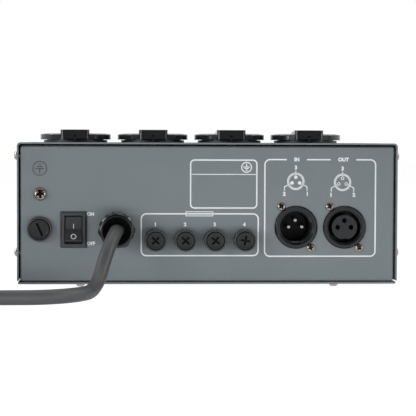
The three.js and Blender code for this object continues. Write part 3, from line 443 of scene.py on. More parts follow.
def ring_path(radius, x=0.0, y=0.0, sides=48, turn=0.0):
    """Points round a circle, or the corners of a regular shape with few sides."""
    angles = [turn + math.tau * k / sides for k in range(sides)]
    return [(x + radius * math.cos(angle), y + radius * math.sin(angle)) for angle in angles]


print("a square with round corners has", len(rectangle(1, 1, 0.1)), "points")


# %% Objects from points and faces
def placed(name, mesh):
    piece = bpy.data.objects.new(name, mesh)
    bpy.context.scene.collection.objects.link(piece)
    return piece


def facing_out(mesh):
    made = bmesh.new()
    made.from_mesh(mesh)
    bmesh.ops.recalc_face_normals(made, faces=made.faces)
    made.to_mesh(mesh)
    made.free()


def shaped(name, points, faces):
    """A new object from points and faces, its faces turned outwards."""
    mesh = bpy.data.meshes.new(name)
    mesh.from_pydata([tuple(point) for point in points], [], faces)
    facing_out(mesh)
    return placed(name, mesh)


def turned(name, profile, sides=64):
    """A solid of revolution about Z from (radius, height) pairs. A profile that starts or ends
    flat on the axis gets a plain round face there, and one off the axis closes on itself."""
    profile = list(profile)
    flat_start = profile[0][0] < smallest and profile[1][1] == profile[0][1]
    flat_end = profile[-1][0] < smallest and profile[-2][1] == profile[-1][1]
    if flat_start:
        profile = profile[1:]
    if flat_end:
        profile = profile[:-1]
    points, rings = [], []
    for radius, height in profile:
        count = 1 if radius < smallest else sides
        rings.append([len(points) + k for k in range(count)])
        for angle in [math.tau * k / sides for k in range(count)]:
            points.append((radius * math.cos(angle), radius * math.sin(angle), height))
    pairs = list(zip(rings, rings[1:]))
    faces = []
    if flat_start:
        faces.append(rings[0])
    if flat_end:
        faces.append(rings[-1])
    open_ends = len(rings[0]) > 1 and len(rings[-1]) > 1
    if open_ends and not flat_start and not flat_end:
        pairs.append((rings[-1], rings[0]))
    for low, high in pairs:
        for k in range(sides):
            corners = [
                low[k % len(low)],
                low[(k + 1) % len(low)],
                high[(k + 1) % len(high)],
                high[k % len(high)],
            ]
            face = list(dict.fromkeys(corners))
            if len(face) > 2:
                faces.append(face)
    return shaped(name, points, faces)


def lathed(name, points, sides=64, steps=4):
    """Turned from a profile whose corners are rounded first."""
    return turned(name, rounded(points, closed=False, steps=steps), sides)


def peg(name, radius, low, high, sides=24):
    """A plain round bar, used as a drill."""
    return turned(name, [(0, low), (radius, low), (radius, high), (0, high)], sides)


print("round shapes: turned, lathed and peg")


# %% Lofts, prisms, blocks and ribbons
def lofted(name, sections, ring=False):
    """A solid through outlines with as many points each, as (outline, height) pairs. A ring
    closes on itself, and anything else gets a flat face at each end."""
    count = len(sections[0][0])
    points = [(x, y, height) for outline, height in sections for x, y in outline]
    faces = []
    last = len(sections) if ring else len(sections) - 1
    for level in range(last):
        low = level * count
        high = (level + 1) % len(sections) * count
        for k in range(count):
            on = (k + 1) % count
            faces.append((low + k, low + on, high + on, high + k))
    if not ring:
        faces.append(list(range(count)))
        faces.append([(len(sections) - 1) * count + k for k in range(count)])
    return shaped(name, points, faces)


def prism(name, outline, low, high):
    return lofted(name, [(outline, low), (outline, high)])


def block(name, across, along, up):
    """A plain block from its two limits, in any order, along each of X, Y and Z."""
    left, right = sorted(across)
    near, far = sorted(along)
    return prism(name, [(left, near), (right, near), (right, far), (left, far)], *sorted(up))


def ribbon(name, path, width, low, high, closed=False):
    """A flat strip of even width along a path in XY, between two heights."""
    points = [Vector(point) for point in path]
    sections = []
    for i, here in enumerate(points):
        before = points[i - 1] if closed or i else here
        after = points[(i + 1) % len(points)] if closed or i < len(points) - 1 else here
        back = (here - before).normalized() if (here - before).length > 0 else None
        on = (after - here).normalized() if (after - here).length > 0 else None
        run = ((back or on) + (on or back)).normalized()
        side = Vector((-run.y, run.x))
        stretch = 1 / max(0.3, run.dot(on or back))
        offset = side * (width / 2 * stretch)
        sections.append([here + offset, here - offset])
    spots, faces = [], []
    for left, right in sections:
        spots += [(*left, low), (*right, low), (*right, high), (*left, high)]
    count = len(sections)
    for i in range(count if closed else count - 1):
        for k in range(4):
            on = (i + 1) % count * 4
            faces.append((i * 4 + k, i * 4 + (k + 1) % 4, on + (k + 1) % 4, on + k))
    if not closed:
        faces.append((0, 1, 2, 3))
        faces.append(tuple(len(spots) - 4 + k for k in range(4)))
    return shaped(name, spots, faces)


print("straight shapes: lofted, prism, block and ribbon")


# %% Join, cut and soften
def moved(piece, matrix):
    """Moves a piece's points, and leaves the object itself where it is."""
    piece.data.transform(matrix)
    return piece


def applied(piece):
    """Turns a piece's modifiers into its mesh."""
    graph = bpy.context.evaluated_depsgraph_get()
    mesh = bpy.data.meshes.new_from_object(piece.evaluated_get(graph))
    piece.modifiers.clear()
    piece.data = mesh
    return piece


def gathered(name, pieces):
    """One object from several, each of them kept whole inside it."""
    made = bmesh.new()
    for piece in pieces:
        made.from_mesh(piece.data)
        bpy.data.objects.remove(piece)
    mesh = bpy.data.meshes.new(name)
    made.to_mesh(mesh)
    made.free()
    return placed(name, mesh)


def combined(piece, tools, operation):
    for tool in tools:
        modifier = piece.modifiers.new("shape", "BOOLEAN")
        modifier.operation = operation
        modifier.solver = "EXACT"
        modifier.object = tool
    applied(piece)
    for tool in tools:
        bpy.data.objects.remove(tool)
    return piece


def cut(piece, *tools):
    return combined(piece, tools, "DIFFERENCE")


def welded(piece, *tools):
    return combined(piece, tools, "UNION")


def softened(piece, width, steps=2, angle=40):
    """Rounds the edges that turn by more than an angle, as every real edge is rounded."""
    modifier = piece.modifiers.new("edges", "BEVEL")
    modifier.width = width
    modifier.segments = steps
    modifier.limit_method = "ANGLE"
    modifier.angle_limit = math.radians(angle)
    return applied(piece)


print("a piece can be moved, gathered, cut, welded and softened")


# %% Dress a piece: its finish, its body and the nodes it stands for
def smoothed(piece, angle):
    """Shades smoothly over the edges that turn by less than an angle, and keeps the others."""
    piece.data.shade_smooth()
    piece.data.set_sharp_from_angle(angle=math.radians(angle))
    weighted = piece.modifiers.new("normals", "WEIGHTED_NORMAL")
    weighted.keep_sharp = True
    return applied(piece)


def coated(piece, finish):
    piece.data.materials.clear()
    piece.data.materials.append(finish.material)


def dressed(piece, finish, nodes=(), place=None, body="case", smooth_angle=32):
    if piece.type == "MESH":
        smoothed(piece, smooth_angle)
    coated(piece, finish)
    if place is not None:
        piece.matrix_world = place
    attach(piece, body)
    if nodes:
        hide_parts(*nodes)
    return piece


def kept(node, finish):
    """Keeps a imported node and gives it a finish."""
    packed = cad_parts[node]
    coated(packed, finish)
    print("kept:", node, "in", finish.material.name)


print("a dressed piece has a finish, a body that it rides on, and the nodes it stands for")

# %% [markdown]
# Places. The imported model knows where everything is, so each place is read from a node's box.
# A piece on a face of the pack is built lying flat, with Z pointing out of that face, and one
# matrix stands it up. That keeps its outline easy to read.

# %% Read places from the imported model
def centre(node):
    low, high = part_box(node)
    return (low + high) / 2


rear_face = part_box("rear_panel")[0].y
front_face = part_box("front_panel")[1].y
cover_low, cover_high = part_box("top_cover")
plate_low, plate_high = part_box("bottom_plate")
panel_low, panel_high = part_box("rear_panel")
lid_top = cover_high.z
print("rear face at y", round(rear_face, 5), "and lid at z", round(lid_top, 5))


# %% Stand a flat drawing on a face of the pack
facing_rear = Matrix(((1, 0, 0), (0, 0, -1), (0, 1, 0))).to_4x4()
facing_front = Matrix(((-1, 0, 0), (0, 0, 1), (0, 1, 0))).to_4x4()
facing_right = Matrix(((0, 0, 1), (1, 0, 0), (0, 1, 0))).to_4x4()


def on_rear(x, z, out=0.0):
    """On the rear panel: X to the right, Y up and Z out of the panel."""
    return Matrix.Translation((x, rear_face - out, z)) @ facing_rear


def on_front(x, z, out=0.0):
    """On the front panel: X to the right as one faces it, Y up and Z out of the panel."""
    return Matrix.Translation((x, front_face + out, z)) @ facing_front


def along_y(start):
    """Stands an outline up in XZ and runs it to the rear from a place on Y."""
    return Matrix.Translation((0, start, 0)) @ facing_rear


def along_x(start):
    """Stands an outline up in YZ and runs it to the right from a place on X."""
    return Matrix.Translation((start, 0, 0)) @ facing_right


print("out of the rear panel is", tuple(on_rear(0, 0).col[2].xyz))

# %% [markdown]
# The case. The cover is one sheet folded over the top and both sides, the plate closes the
# bottom, and each panel is a shallow tray with flanges folded back. A sheet could be a plane
# with thickness, but its bends and cut edges are what the eye reads, so each is drawn as a
# section with rounded bends, pushed to its length, and then punched.

# %% Draw a folded sheet and the side screws' drills
sheet = 1.0 * mm
clearance = 0.3 * mm
hair = 0.03 * mm
screw_hole = 3.6 * mm
side_screws = [f"side_screw_{k}" for k in range(1, 9)]
screw_places_y = sorted({round(centre(name).y, 5) for name in side_screws})
side_heights = sorted({round(centre(name).z, 5) for name in side_screws})


def folded(width, drop, bend):
    """A sheet folded down at both ends, seen from its edge, its flat on y = 0."""
    side = width / 2
    inner = bend - sheet
    return rounded([
        (-side, -drop, 0),
        (-side, 0, bend),
        (side, 0, bend),
        (side, -drop, 0),
        (side - sheet, -drop, 0),
        (side - sheet, -sheet, inner),
        (-side + sheet, -sheet, inner),
        (-side + sheet, -drop, 0),
    ], steps=8)


def side_bores():
    """Drills for the side screws, right through the case."""
    reach = cover_high.x + sheet
    across = Matrix.Rotation(math.pi / 2, 4, "Y")
    bores = []
    for y in screw_places_y:
        for z in side_heights:
            bore = peg("bore", screw_hole / 2, -reach, reach)
            bores.append(moved(bore, Matrix.Translation((0, y, z)) @ across))
    return bores


print("side screws at y", screw_places_y, "and z", side_heights)

# %% Fold the cover and punch it
cover_bend = 2.4 * mm
vent_count = 9
vent_pitch = 11.5 * mm
vent_width = 3.0 * mm
vent_height = 34.0 * mm
vent_drop = 22.1 * mm
vent_corner = vent_width / 2 * 0.98
outlets = [f"outlet_{k}" for k in range(1, 5)]
outlet_y = centre("outlet_earth_clip_1").y
outlet_barrel = 40.8 * mm
lug_width = 8.0 * mm
lug_reach = 1.8 * mm
clip_width = 5.0 * mm
clip_reach = 20.55 * mm


def side_vents(width):
    """Slots through both sides of the cover, in one row."""
    mid_depth = (cover_low.y + cover_high.y) / 2
    middle = lid_top - vent_drop - vent_height / 2
    vents = []
    for k in range(vent_count):
        y = mid_depth + (k - (vent_count - 1) / 2) * vent_pitch
        outline = rectangle(vent_width, vent_height, vent_corner, y, middle)
        vent = prism("vent", outline, 0, width + 2 * sheet)
        vents.append(moved(vent, along_x(-width / 2 - sheet)))
    return vents


def outlet_openings():
    """A round hole for each outlet, and notches for its lugs and its earth clip."""
    lug = outlet_barrel / 2 + lug_reach + clearance
    lug_half = lug_width / 2 + clearance
    clip = clip_reach + clearance
    clip_half = clip_width / 2 + clearance
    up = (lid_top - 2 * sheet, lid_top + sheet)
    holes, notches = [], []
    for name in outlets:
        x, y = centre(name).xy
        hole = peg("hole", outlet_barrel / 2 + clearance, -2 * sheet, sheet, 96)
        holes.append(moved(hole, Matrix.Translation((x, y, lid_top))))
        notches.append(block("notch", (x - lug, x + lug), (y - lug_half, y + lug_half), up))
        notches.append(block("notch", (x - clip_half, x + clip_half), (y - clip, y + clip), up))
    return holes, notches


def make_cover():
    size = cover_high - cover_low
    cover = prism("folded_cover", folded(size.x, size.z, cover_bend), 0, size.y)
    moved(cover, Matrix.Translation((0, 0, lid_top)) @ along_y(cover_high.y))
    holes, notches = outlet_openings()
    cut(cover, gathered("vents", side_vents(size.x)), gathered("holes", holes))
    cut(cover, *notches, gathered("bores", side_bores()))
    return softened(cover, 0.18 * mm)


folded_cover = dressed(make_cover(), case_paint, ["top_cover"])
print("cover:", len(folded_cover.data.polygons), "faces")

# %% Cut the bottom plate
plate_corner = 2.0 * mm
plate_sheet = 1.2 * mm
foot_height = 2.1 * mm
foot_spread = 161.0 * mm
foot_places = [(side * foot_spread / 2, y) for side in (-1, 1) for y in screw_places_y]


def make_plate():
    size = plate_high - plate_low
    outline = rectangle(size.x, size.y, plate_corner, 0, centre("bottom_plate").y, 6)
    plate = prism("base_plate", outline, foot_height, foot_height + plate_sheet)
    drills = []
    for x, y in foot_places:
        drill = peg("drill", screw_hole / 2, 0, foot_height + 3 * plate_sheet)
        drills.append(moved(drill, Matrix.Translation((x, y, 0))))
    cut(plate, *drills)
    return softened(plate, 0.15 * mm)


base_plate = dressed(make_plate(), case_paint, ["bottom_plate"])
print("plate:", len(base_plate.data.polygons), "faces")

# %% Fold a panel
panel_bend = 2.2 * mm
panel_side_bend = 1.5 * mm
panel_flange = 13.0 * mm
panel_notch = 1.0 * mm
panel_drop = 3.0 * mm


def make_tray(name, face, outward):
    """A panel as two folded strips that cross: flanges on all four sides, notched corners.
    It is built standing, with its outer face at y = face and its flanges folded inwards."""
    size = panel_high - panel_low
    middle = (panel_high.z + panel_low.z) / 2
    wide = prism(name, folded(size.x, panel_flange, panel_side_bend), 0, size.z - 2 * panel_notch)
    tall = prism("strip", folded(size.z, panel_flange, panel_bend), 0, size.x - 2 * panel_notch)
    # The section's Y becomes the way out of the panel, which mirrors one of the two panels.
    upright = Matrix(((1, 0, 0), (0, outward, 0), (0, 0, 1))).to_4x4()
    moved(wide, Matrix.Translation((0, face, panel_low.z + panel_notch)) @ upright)
    crosswise = Matrix(((0, 0, 1), (0, outward, 0), (1, 0, 0))).to_4x4()
    moved(tall, Matrix.Translation((panel_low.x + panel_notch, face, middle)) @ crosswise)
    facing_out(wide.data)
    facing_out(tall.data)
    return welded(wide, tall)


def drill_at(matrix, diameter, sides=48):
    return moved(peg("drill", diameter / 2, -panel_drop, sheet, sides), matrix)


def window_at(matrix, width, height, corner):
    return moved(prism("opening", rectangle(width, height, corner), -panel_drop, sheet), matrix)


print("a panel is", round((panel_high - panel_low).x, 4), "m wide")

# %% [markdown]
# Earth sign. Over the earth screw a sign is stamped into the steel: a ring round a stem and
# three bars that shrink as they leave it. Stamping leaves a shallow groove, so the sign is cut
# into the panel as thin ribbons, and a darker ribbon lies in each groove as painted shade.

# %% Strokes of the earth sign
def earth_strokes(radius, up=1):
    """Paths of the sign about its middle, each with True where it closes on itself. Its stem
    hangs down for up = 1, as it was stamped here, and stands up for up = -1."""
    bars = [(0.67, -0.05), (0.42, 0.27), (0.17, 0.6)]
    strokes = [(ring_path(radius), True)]
    strokes.append(([(0, -up * radius * 0.76), (0, up * radius * bars[0][1])], False))
    for reach, height in bars:
        level = up * radius * height
        ends = [(-radius * reach, level), (radius * reach, level)]
        strokes.append((ends, False))
    return strokes


stamp_place = (-105.7 * mm, 74.8 * mm)
stamp_radius = 4.35 * mm
stamp_width = 0.5 * mm
stamp_depth = 0.3 * mm
print("earth sign:", len(earth_strokes(stamp_radius)), "strokes")

# %% Punch the rear panel
ring_diameter = 26.8 * mm
holder_barrel = 12.0 * mm
gland_drill = 15.6 * mm
earth_drill = 4.6 * mm
switch_cutout = (13.6 * mm, 20.1 * mm)
fuse_keys = ["main", "1", "2", "3", "4"]
rear_drills = [(f"fuse_cap_{key}", holder_barrel + 2 * clearance, 48) for key in fuse_keys]
rear_drills += [
    ("signal_input_shell", ring_diameter + 2 * clearance, 72),
    ("signal_output_shell", ring_diameter + 2 * clearance, 72),
    ("gland_dome_nut", gland_drill, 48),
    ("earth_screw", earth_drill, 24),
]


def make_rear_panel():
    panel = make_tray("rear_panel_tray", rear_face, -1)
    tools = []
    for node, diameter, sides in rear_drills:
        spot = centre(node)
        tools.append(drill_at(on_rear(spot.x, spot.z), diameter, sides))
    spot = centre("switch_housing")
    tools.append(window_at(on_rear(spot.x, spot.z), *switch_cutout, clearance))
    cut(panel, gathered("drills", tools))
    grooves = []
    for path, closed in earth_strokes(stamp_radius):
        groove = ribbon("groove", path, stamp_width, -stamp_depth, sheet, closed)
        grooves.append(moved(groove, on_rear(*stamp_place)))
    cut(panel, *grooves)
    return cut(panel, gathered("bores", side_bores()))


rear_panel = dressed(make_rear_panel(), case_paint, ["rear_panel"])
print("rear panel:", len(rear_panel.data.polygons), "faces")

# %% Lay painted shade in the stamped sign
groove_shade_width = 0.36 * mm
groove_shade_low = -stamp_depth - 0.05 * mm
groove_shade_high = -0.1 * mm
# Painted shade: the darker ribbons that lie in the stamped grooves.
dust_and_shade = moulded("stamp_groove_shade", (54, 58, 60), (66, 70, 72), 0.7, 2400, 0.03, "case_paint")
strokes = [
    ribbon("dust_and_shade", path, groove_shade_width, groove_shade_low, groove_shade_high, closed)
    for path, closed in earth_strokes(stamp_radius)
]
dressed(gathered("stamped_sign", strokes), dust_and_shade, place=on_rear(*stamp_place))
print("sign:", len(strokes), "strokes")

# %% Punch the front panel
button_names = [f"button_{k}" for k in range(1, 5)]
window_width = 46.0 * mm
window_height = 18.0 * mm
window_corner = 1.5 * mm
button_diameter = 7.0 * mm


def make_front_panel():
    panel = make_tray("front_panel_tray", front_face, 1)
    spot = centre("display_window")
    tools = [window_at(on_front(spot.x, spot.z), window_width, window_height, window_corner)]
    for name in button_names:
        spot = centre(name)
        tools.append(drill_at(on_front(spot.x, spot.z), button_diameter + 2 * clearance))
    cut(panel, gathered("drills", tools))
    return cut(panel, gathered("bores", side_bores()))


front_panel = dressed(make_front_panel(), case_paint, ["front_panel"])
print("front panel:", len(front_panel.data.polygons), "faces")

# %% Lay foam on the front panel's top flange
foam_depth = 7.0 * mm
foam_steps = 8


def make_foam():
    """A strip that fills the gap under the cover, so that no light comes through the case. Its
    ends follow the cover's bends and drop into the notches at the panel's corners."""
    bend = cover_bend - sheet
    middle = Vector((cover_high.x - sheet - bend, lid_top - sheet - bend))
    ledge = panel_high.x - panel_notch + hair
    under = panel_high.z - panel_notch + hair
    top = panel_high.z + hair
    start = math.asin((under - middle.y) / (bend - hair))
    arc = []
    for step in range(foam_steps + 1):
        angle = start + (math.pi / 2 - start) * step / foam_steps
        arc.append(middle + (bend - hair) * Vector((math.cos(angle), math.sin(angle))))
    mirrored = [Vector((-point.x, point.y)) for point in reversed(arc)]
    notches = [(-ledge, under), (-ledge, top), (ledge, top), (ledge, under)]
    outline = [tuple(point) for point in arc + mirrored] + notches
    depth_low = front_face - panel_flange + sheet
    return moved(prism("foam_strip", outline, 0, foam_depth), along_y(depth_low + foam_depth))


foam = dressed(make_foam(), cord_rubber)
print("foam:", round(foam.dimensions.x, 3), "m long")

# %% [markdown]
# Screws. A pan head is a short drum with a rounded shoulder and a low crown, and a cross
# recess that narrows as it goes down. The head is turned, and the recess is cut with two
# tapered wings and a point. One head serves all its copies, each turned as it was left.


# %% Turn a screw
screw_sides = 40


def wing(length, width, depth, foot):
    """One tapered bar of a cross recess, open at the top."""
    return lofted("wing", [
        (rectangle(length, width), depth),
        (rectangle(length, width), 0),
        (rectangle(length * foot, width * foot), -depth),
    ])


def pan_screw(name, head, height, shank, reach, recess):
    """The head's underside is on z = 0, and the shank reaches down from it."""
    crown = height * 0.1
    screw = lathed(name, [
        (0, -reach),
        (shank / 2 - 0.4 * mm, -reach),
        (shank / 2, -reach + 0.5 * mm),
        (shank / 2, 0),
        (head / 2, 0, 0.1 * mm),
        (head / 2, height * 0.34, height * 0.3),
        (head / 2 * 0.72, height - crown, head * 0.3),
        (head / 2 * 0.3, height),
        (0, height),
    ], screw_sides, steps=5)
    tools = []
    for turn in (0, math.pi / 2):
        tool = wing(recess, recess * 0.34, height * 0.66, 0.55)
        place = Matrix.Translation((0, 0, height)) @ Matrix.Rotation(turn, 4, "Z")
        tools.append(moved(tool, place))
    brim = height + crown
    point = turned("point", [(0, -height * 0.1), (recess * 0.3, brim), (0, brim)], 16)
    cut(screw, *tools, point)
    return softened(screw, 0.06 * mm, 1, 50)


def spun(degrees):
    return Matrix.Rotation(math.radians(degrees), 4, "Z")


case_head_height = 1.8 * mm
case_recess = 3.4 * mm
case_screw = pan_screw("case_screw", 5.6 * mm, case_head_height, 3 * mm, 5 * mm, case_recess)
case_screw_metal = screw_metal("case_screw_metal", case_head_height, case_recess)
print("screw:", len(case_screw.data.polygons), "faces")

# %% Set the case's screws
screw_turns = [12, 38, 67, 25, 8, 51, 72, 33, 19, 60, 44, 81]
for name, turn in zip(side_screws, screw_turns):
    spot = centre(name)
    side = 1 if spot.x > 0 else -1
    seat = Matrix.Translation((side * (cover_high.x + clearance), spot.y, spot.z))
    upright = Matrix.Rotation(side * math.pi / 2, 4, "Y") @ spun(turn)
    head = placed(name + "_head", case_screw.data)
    dressed(head, case_screw_metal, [name], seat @ upright)
for k, (x, y) in enumerate(foot_places):
    seat = Matrix.Translation((x, y, foot_height - clearance)) @ Matrix.Rotation(math.pi, 4, "X")
    head = placed(f"foot_screw_{k + 1}", case_screw.data)
    dressed(head, case_screw_metal, place=seat @ spun(screw_turns[len(side_screws) + k]))
bpy.data.objects.remove(case_screw)
print("case screws:", len(side_screws) + len(foot_places))

# %% Set the earth screw
earth_head_height = 2.9 * mm
earth_recess = 4.8 * mm
earth_spot = centre("earth_screw")
earth_place = on_rear(earth_spot.x, earth_spot.z, hair) @ spun(8)
earth_screw = pan_screw(
    "earth_screw_head", 8.4 * mm, earth_head_height, 4 * mm, 9 * mm, earth_recess)
earth_screw_metal = screw_metal("earth_screw_metal", earth_head_height, earth_recess)
dressed(earth_screw, earth_screw_metal, ["earth_screw"], earth_place)
print("earth screw at x", round(earth_spot.x, 4))

# %% [markdown]
# Outlets. Each has a base that drops through the lid: a round well for the plug, ribs that
# keep the plug from turning, and slots for the earth clips. It could be sculpted, but a
# moulding is made from simple solids joined and hollowed, so it is built the same way here,
# and its edges are rounded at the end. A knuckle on its rim carries the flap's steel pin.

# %% Ribs, pin holes and slots of an outlet
outlet_under = -18.0 * mm
well_floor = -15.6 * mm
outlet_rim = 1.6 * mm
well = 38.8 * mm
pin_spacing = 19.0 * mm
pin_hole = 5.0 * mm
pin_lead_in = 0.7 * mm
rib_width = 4.6 * mm
rib_reach = 2.2 * mm
contact_height = 9.0 * mm
slot_length = 3.5 * mm


def well_ribs():
    ribs = []
    for side in (-1, 1):
        across = (side * (well / 2 - rib_reach), side * (well / 2 + 0.5 * mm))
        up = (well_floor - 0.2 * mm, outlet_rim - 0.7 * mm)
        ribs.append(block("rib", across, (-rib_width / 2, rib_width / 2), up))
    return ribs


def outlet_holes():
    """The two pin holes, with a lead-in each, and the slots for the earth clips."""
    holes = []
    bottom = outlet_under - contact_height + 2.4 * mm
    radius = pin_hole / 2
    half = clip_width / 2 + clearance
    clip = clip_reach + clearance
    for side in (-1, 1):
        hole = turned("pin_hole", [
            (0, bottom),
            (radius, bottom),
            (radius, well_floor - pin_lead_in),
            (radius + pin_lead_in, well_floor + 0.02 * mm),
            (radius + pin_lead_in, well_floor + sheet),
            (0, well_floor + sheet),
        ], 32)
        holes.append(moved(hole, Matrix.Translation((side * pin_spacing / 2, 0, 0))))
        along = (side * (clip - slot_length), side * clip)
        holes.append(block("slot", (-half, half), along, (outlet_under - sheet, 0.8 * mm)))
    return holes


print("pin holes", round(pin_spacing / mm, 1), "mm apart")

# %% Mould an outlet's base
base_ring = 42.2 * mm
hinge_reach = 22.0 * mm
hinge_rise = 3.4 * mm
knuckle_radius = 1.2 * mm
knuckle_width = 1.5 * mm
lug_thick = 4.0 * mm
outlet_sides = 128


def outlet_body():
    """A stepped drum with two lugs under the lid and a contact block under its floor."""
    body = lathed("outlet", [
        (0, outlet_under),
        (outlet_barrel / 2, outlet_under, 0.6 * mm),
        (outlet_barrel / 2, hair, 0),
        (base_ring / 2, hair, 0.1 * mm),
        (base_ring / 2, outlet_rim, 0.25 * mm),
        (0, outlet_rim),
    ], outlet_sides, steps=5)
    parts = []
    lug_high = -sheet - clearance
    lug = outlet_barrel / 2 + lug_reach
    for side in (-1, 1):
        across = (side * (lug - lug_thick), side * lug)
        along = (-lug_width / 2, lug_width / 2)
        parts.append(block("lug", across, along, (lug_high - lug_thick, lug_high)))
    contacts = rectangle(30 * mm, 17 * mm, 1 * mm)
    low, high = outlet_under - contact_height, outlet_under + clearance
    return welded(body, *parts, prism("contacts", contacts, low, high))


def hinge_knuckle():
    """The lug on the rim that holds the flap's pin."""
    near, far = knuckle_radius - hinge_reach, -knuckle_radius - hinge_reach
    back = -well / 2 - 0.6 * mm
    high = hinge_rise + knuckle_radius
    profile = rounded([
        (far, hair, 0.2 * mm),
        (back, hair, 0),
        (back, outlet_rim, 0),
        (near, outlet_rim, 0.2 * mm),
        (near, high, knuckle_radius * 0.99),
        (far, high, knuckle_radius * 0.99),
    ], steps=8)
    return moved(prism("knuckle", profile, 0, knuckle_width), along_x(-knuckle_width / 2))


def make_outlet():
    lip = well / 2 + 0.4 * mm
    hollow = lathed("hollow", [
        (0, well_floor),
        (well / 2, well_floor, 0.8 * mm),
        (well / 2, outlet_rim - 0.3 * mm, 0),
        (lip, outlet_rim + 0.1 * mm, 0),
        (lip, outlet_rim + sheet),
        (0, outlet_rim + sheet),
    ], outlet_sides)
    body = cut(outlet_body(), hollow)
    welded(body, *well_ribs(), hinge_knuckle())
    cut(body, *outlet_holes())
    return softened(body, 0.2 * mm, 2, 48)


outlet = make_outlet()
print("outlet base:", len(outlet.data.polygons), "faces")

# %% [markdown]
# Flaps. Over each base lies a flap: a shallow disc, domed on top, with a hood over its hinge
# that slopes back into the disc. The hood is the overlap of its plan and its side view, as a
# draughtsman would read it, and that rounds both its upright corners and its top edge.

# %% Cut a flap's hood
flap_low = 1.9 * mm
flap_crown = 6.0 * mm
hood_width = 18.8 * mm
hood_reach = 23.6 * mm
hood_length = 32.0 * mm
hood_flat = 5.0 * mm
hood_high = 8.4 * mm
hood_corner = 2.2 * mm


def make_hood():
    middle = hood_length / 2 - hood_reach
    plan = rectangle(hood_width, hood_length, hood_corner, 0, middle, 7)
    hood = prism("hood", plan, flap_low, hood_high + sheet)
    back = hood_length - hood_reach
    side = rounded([
        (0.5 * mm - hood_reach, flap_low, 0.2 * mm),
        (back, flap_low, 0),
        (back, flap_crown - 0.05 * mm, 0),
        (hood_flat - hood_reach, hood_high, 3 * mm),
        (-hood_reach, hood_high, 0.7 * mm),
        (-hood_reach, flap_low + 0.6 * mm, 0.3 * mm),
    ], steps=6)
    width = hood_width + sheet
    envelope = moved(prism("envelope", side, 0, width), along_x(-width / 2))
    combined(hood, [envelope], "INTERSECT")
    return softened(hood, 0.3 * mm, 3, 50)


print("hood:", round(hood_length / mm), "mm long and", round(hood_width / mm, 1), "mm wide")

# %% Turn a flap's disc and join its hood
flap = 46.8 * mm
flap_high = 5.4 * mm
flap_sides = 144
flap_inset = 0.9 * mm
gasket_inner = 18.2 * mm
gasket_outer = 19.0 * mm
gasket_low = 1.1 * mm
gasket_high = 3.0 * mm


def flap_disc():
    rim = well / 2 - 1.5 * mm
    return lathed("flap", [
        (0, flap_low + flap_inset),
        (rim, flap_low + flap_inset, 0.4 * mm),
        (rim, flap_low, 0.2 * mm),
        (flap / 2, flap_low, 0.35 * mm),
        (flap / 2, flap_high, 0.7 * mm),
        (well / 2, flap_crown, 2 * mm),
        (0, flap_crown),
    ], flap_sides, steps=5)


def flap_shoulder():
    """A web whose sides touch the disc and run straight to the hood's rear corners."""
    rear = 1.2 * mm - hood_reach
    corner = math.hypot(hood_reach, hood_width / 2)
    lean = math.atan2(hood_width / 2, hood_reach) + math.acos(flap / 2 / corner)
    touch = Vector((math.sin(lean), -math.cos(lean))) * flap / 2
    web = prism("shoulder", [
        (-touch.x, touch.y),
        (-hood_width / 2, rear),
        (hood_width / 2, rear),
        (touch.x, touch.y),
    ], flap_low + 0.02 * mm, flap_high - 0.02 * mm)
    return softened(web, 0.3 * mm, 3, 50)


def flap_gasket():
    return turned("gasket", [
        (gasket_inner, gasket_low),
        (gasket_outer, gasket_low),
        (gasket_outer, gasket_high),
        (gasket_inner, gasket_high),
    ], 96)


outlet_flap = welded(flap_disc(), flap_shoulder(), make_hood(), flap_gasket())
print("flap:", len(outlet_flap.data.polygons), "faces")

# %% Slot the flap for its knuckle, and turn the pin
hinge_pin = 1.4 * mm
hinge_pin_length = 10.0 * mm
knuckle_slot = 2.1 * mm


def knuckle_gap():
    high = hinge_rise + knuckle_radius + clearance
    rear = knuckle_radius + clearance - hinge_reach
    arch = rounded([
        (-knuckle_slot / 2, flap_low - sheet, 0),
        (knuckle_slot / 2, flap_low - sheet, 0),
        (knuckle_slot / 2, high, 1.0 * mm),
        (-knuckle_slot / 2, high, 1.0 * mm),
    ], steps=6)
    return moved(prism("slot", arch, 0, rear + hood_reach + sheet), along_y(rear))


def pin_bore():
    length = hinge_pin_length + 2 * clearance
    bore = prism("bore", ring_path(hinge_pin / 2 + clearance, sides=24), 0, length)
    return moved(bore, along_x(-length / 2) @ Matrix.Translation((-hinge_reach, hinge_rise, 0)))


def make_hinge_pin():
    half = hinge_pin_length / 2
    pin = lathed("hinge_pin", [
        (0, -half),
        (hinge_pin / 2, -half, 0.2 * mm),
        (hinge_pin / 2, half, 0.2 * mm),
        (0, half),
    ], 24)
    across = Matrix.Rotation(math.pi / 2, 4, "Y")
    return moved(pin, Matrix.Translation((0, -hinge_reach, hinge_rise)) @ across)


cut(outlet_flap, knuckle_gap(), pin_bore())
hinge = make_hinge_pin()
print("hinge pin:", round(hinge_pin / mm, 1), "mm thick")

# %% Set the outlets in the lid
contact_brass = plated(
    "contact_brass", (206, 190, 150), (226, 212, 176), 0.24, 2400, "contact_metal")
for name in outlets:
    key = name[-1]
    node = f"outlet_flap_{key}"
    place = Matrix.Translation((centre(name).x, outlet_y, lid_top))
    dressed(placed(f"outlet_base_{key}", outlet.data), black_plastic, [name], place)
    dressed(placed(f"flap_pin_{key}", hinge.data), nickel, place=place)
    dressed(placed(f"flap_moulding_{key}", outlet_flap.data), outlet_plastic, [node], place, node)
    kept(f"outlet_earth_clip_{key}", contact_brass)
for spare in (outlet, outlet_flap, hinge):
    bpy.data.objects.remove(spare)
print("outlets:", len(outlets), "each with a flap of", round(flap / mm, 1), "mm")

# %% [markdown]
# Rocker switch. A snap-in frame with sloping sides holds a rocker that tips about a pin. The
# rocker's face is two flats that meet in a shallow valley, so whichever end is pressed lies
# flush. Both are outlines pushed along one axis, with the marks laid on each flat.

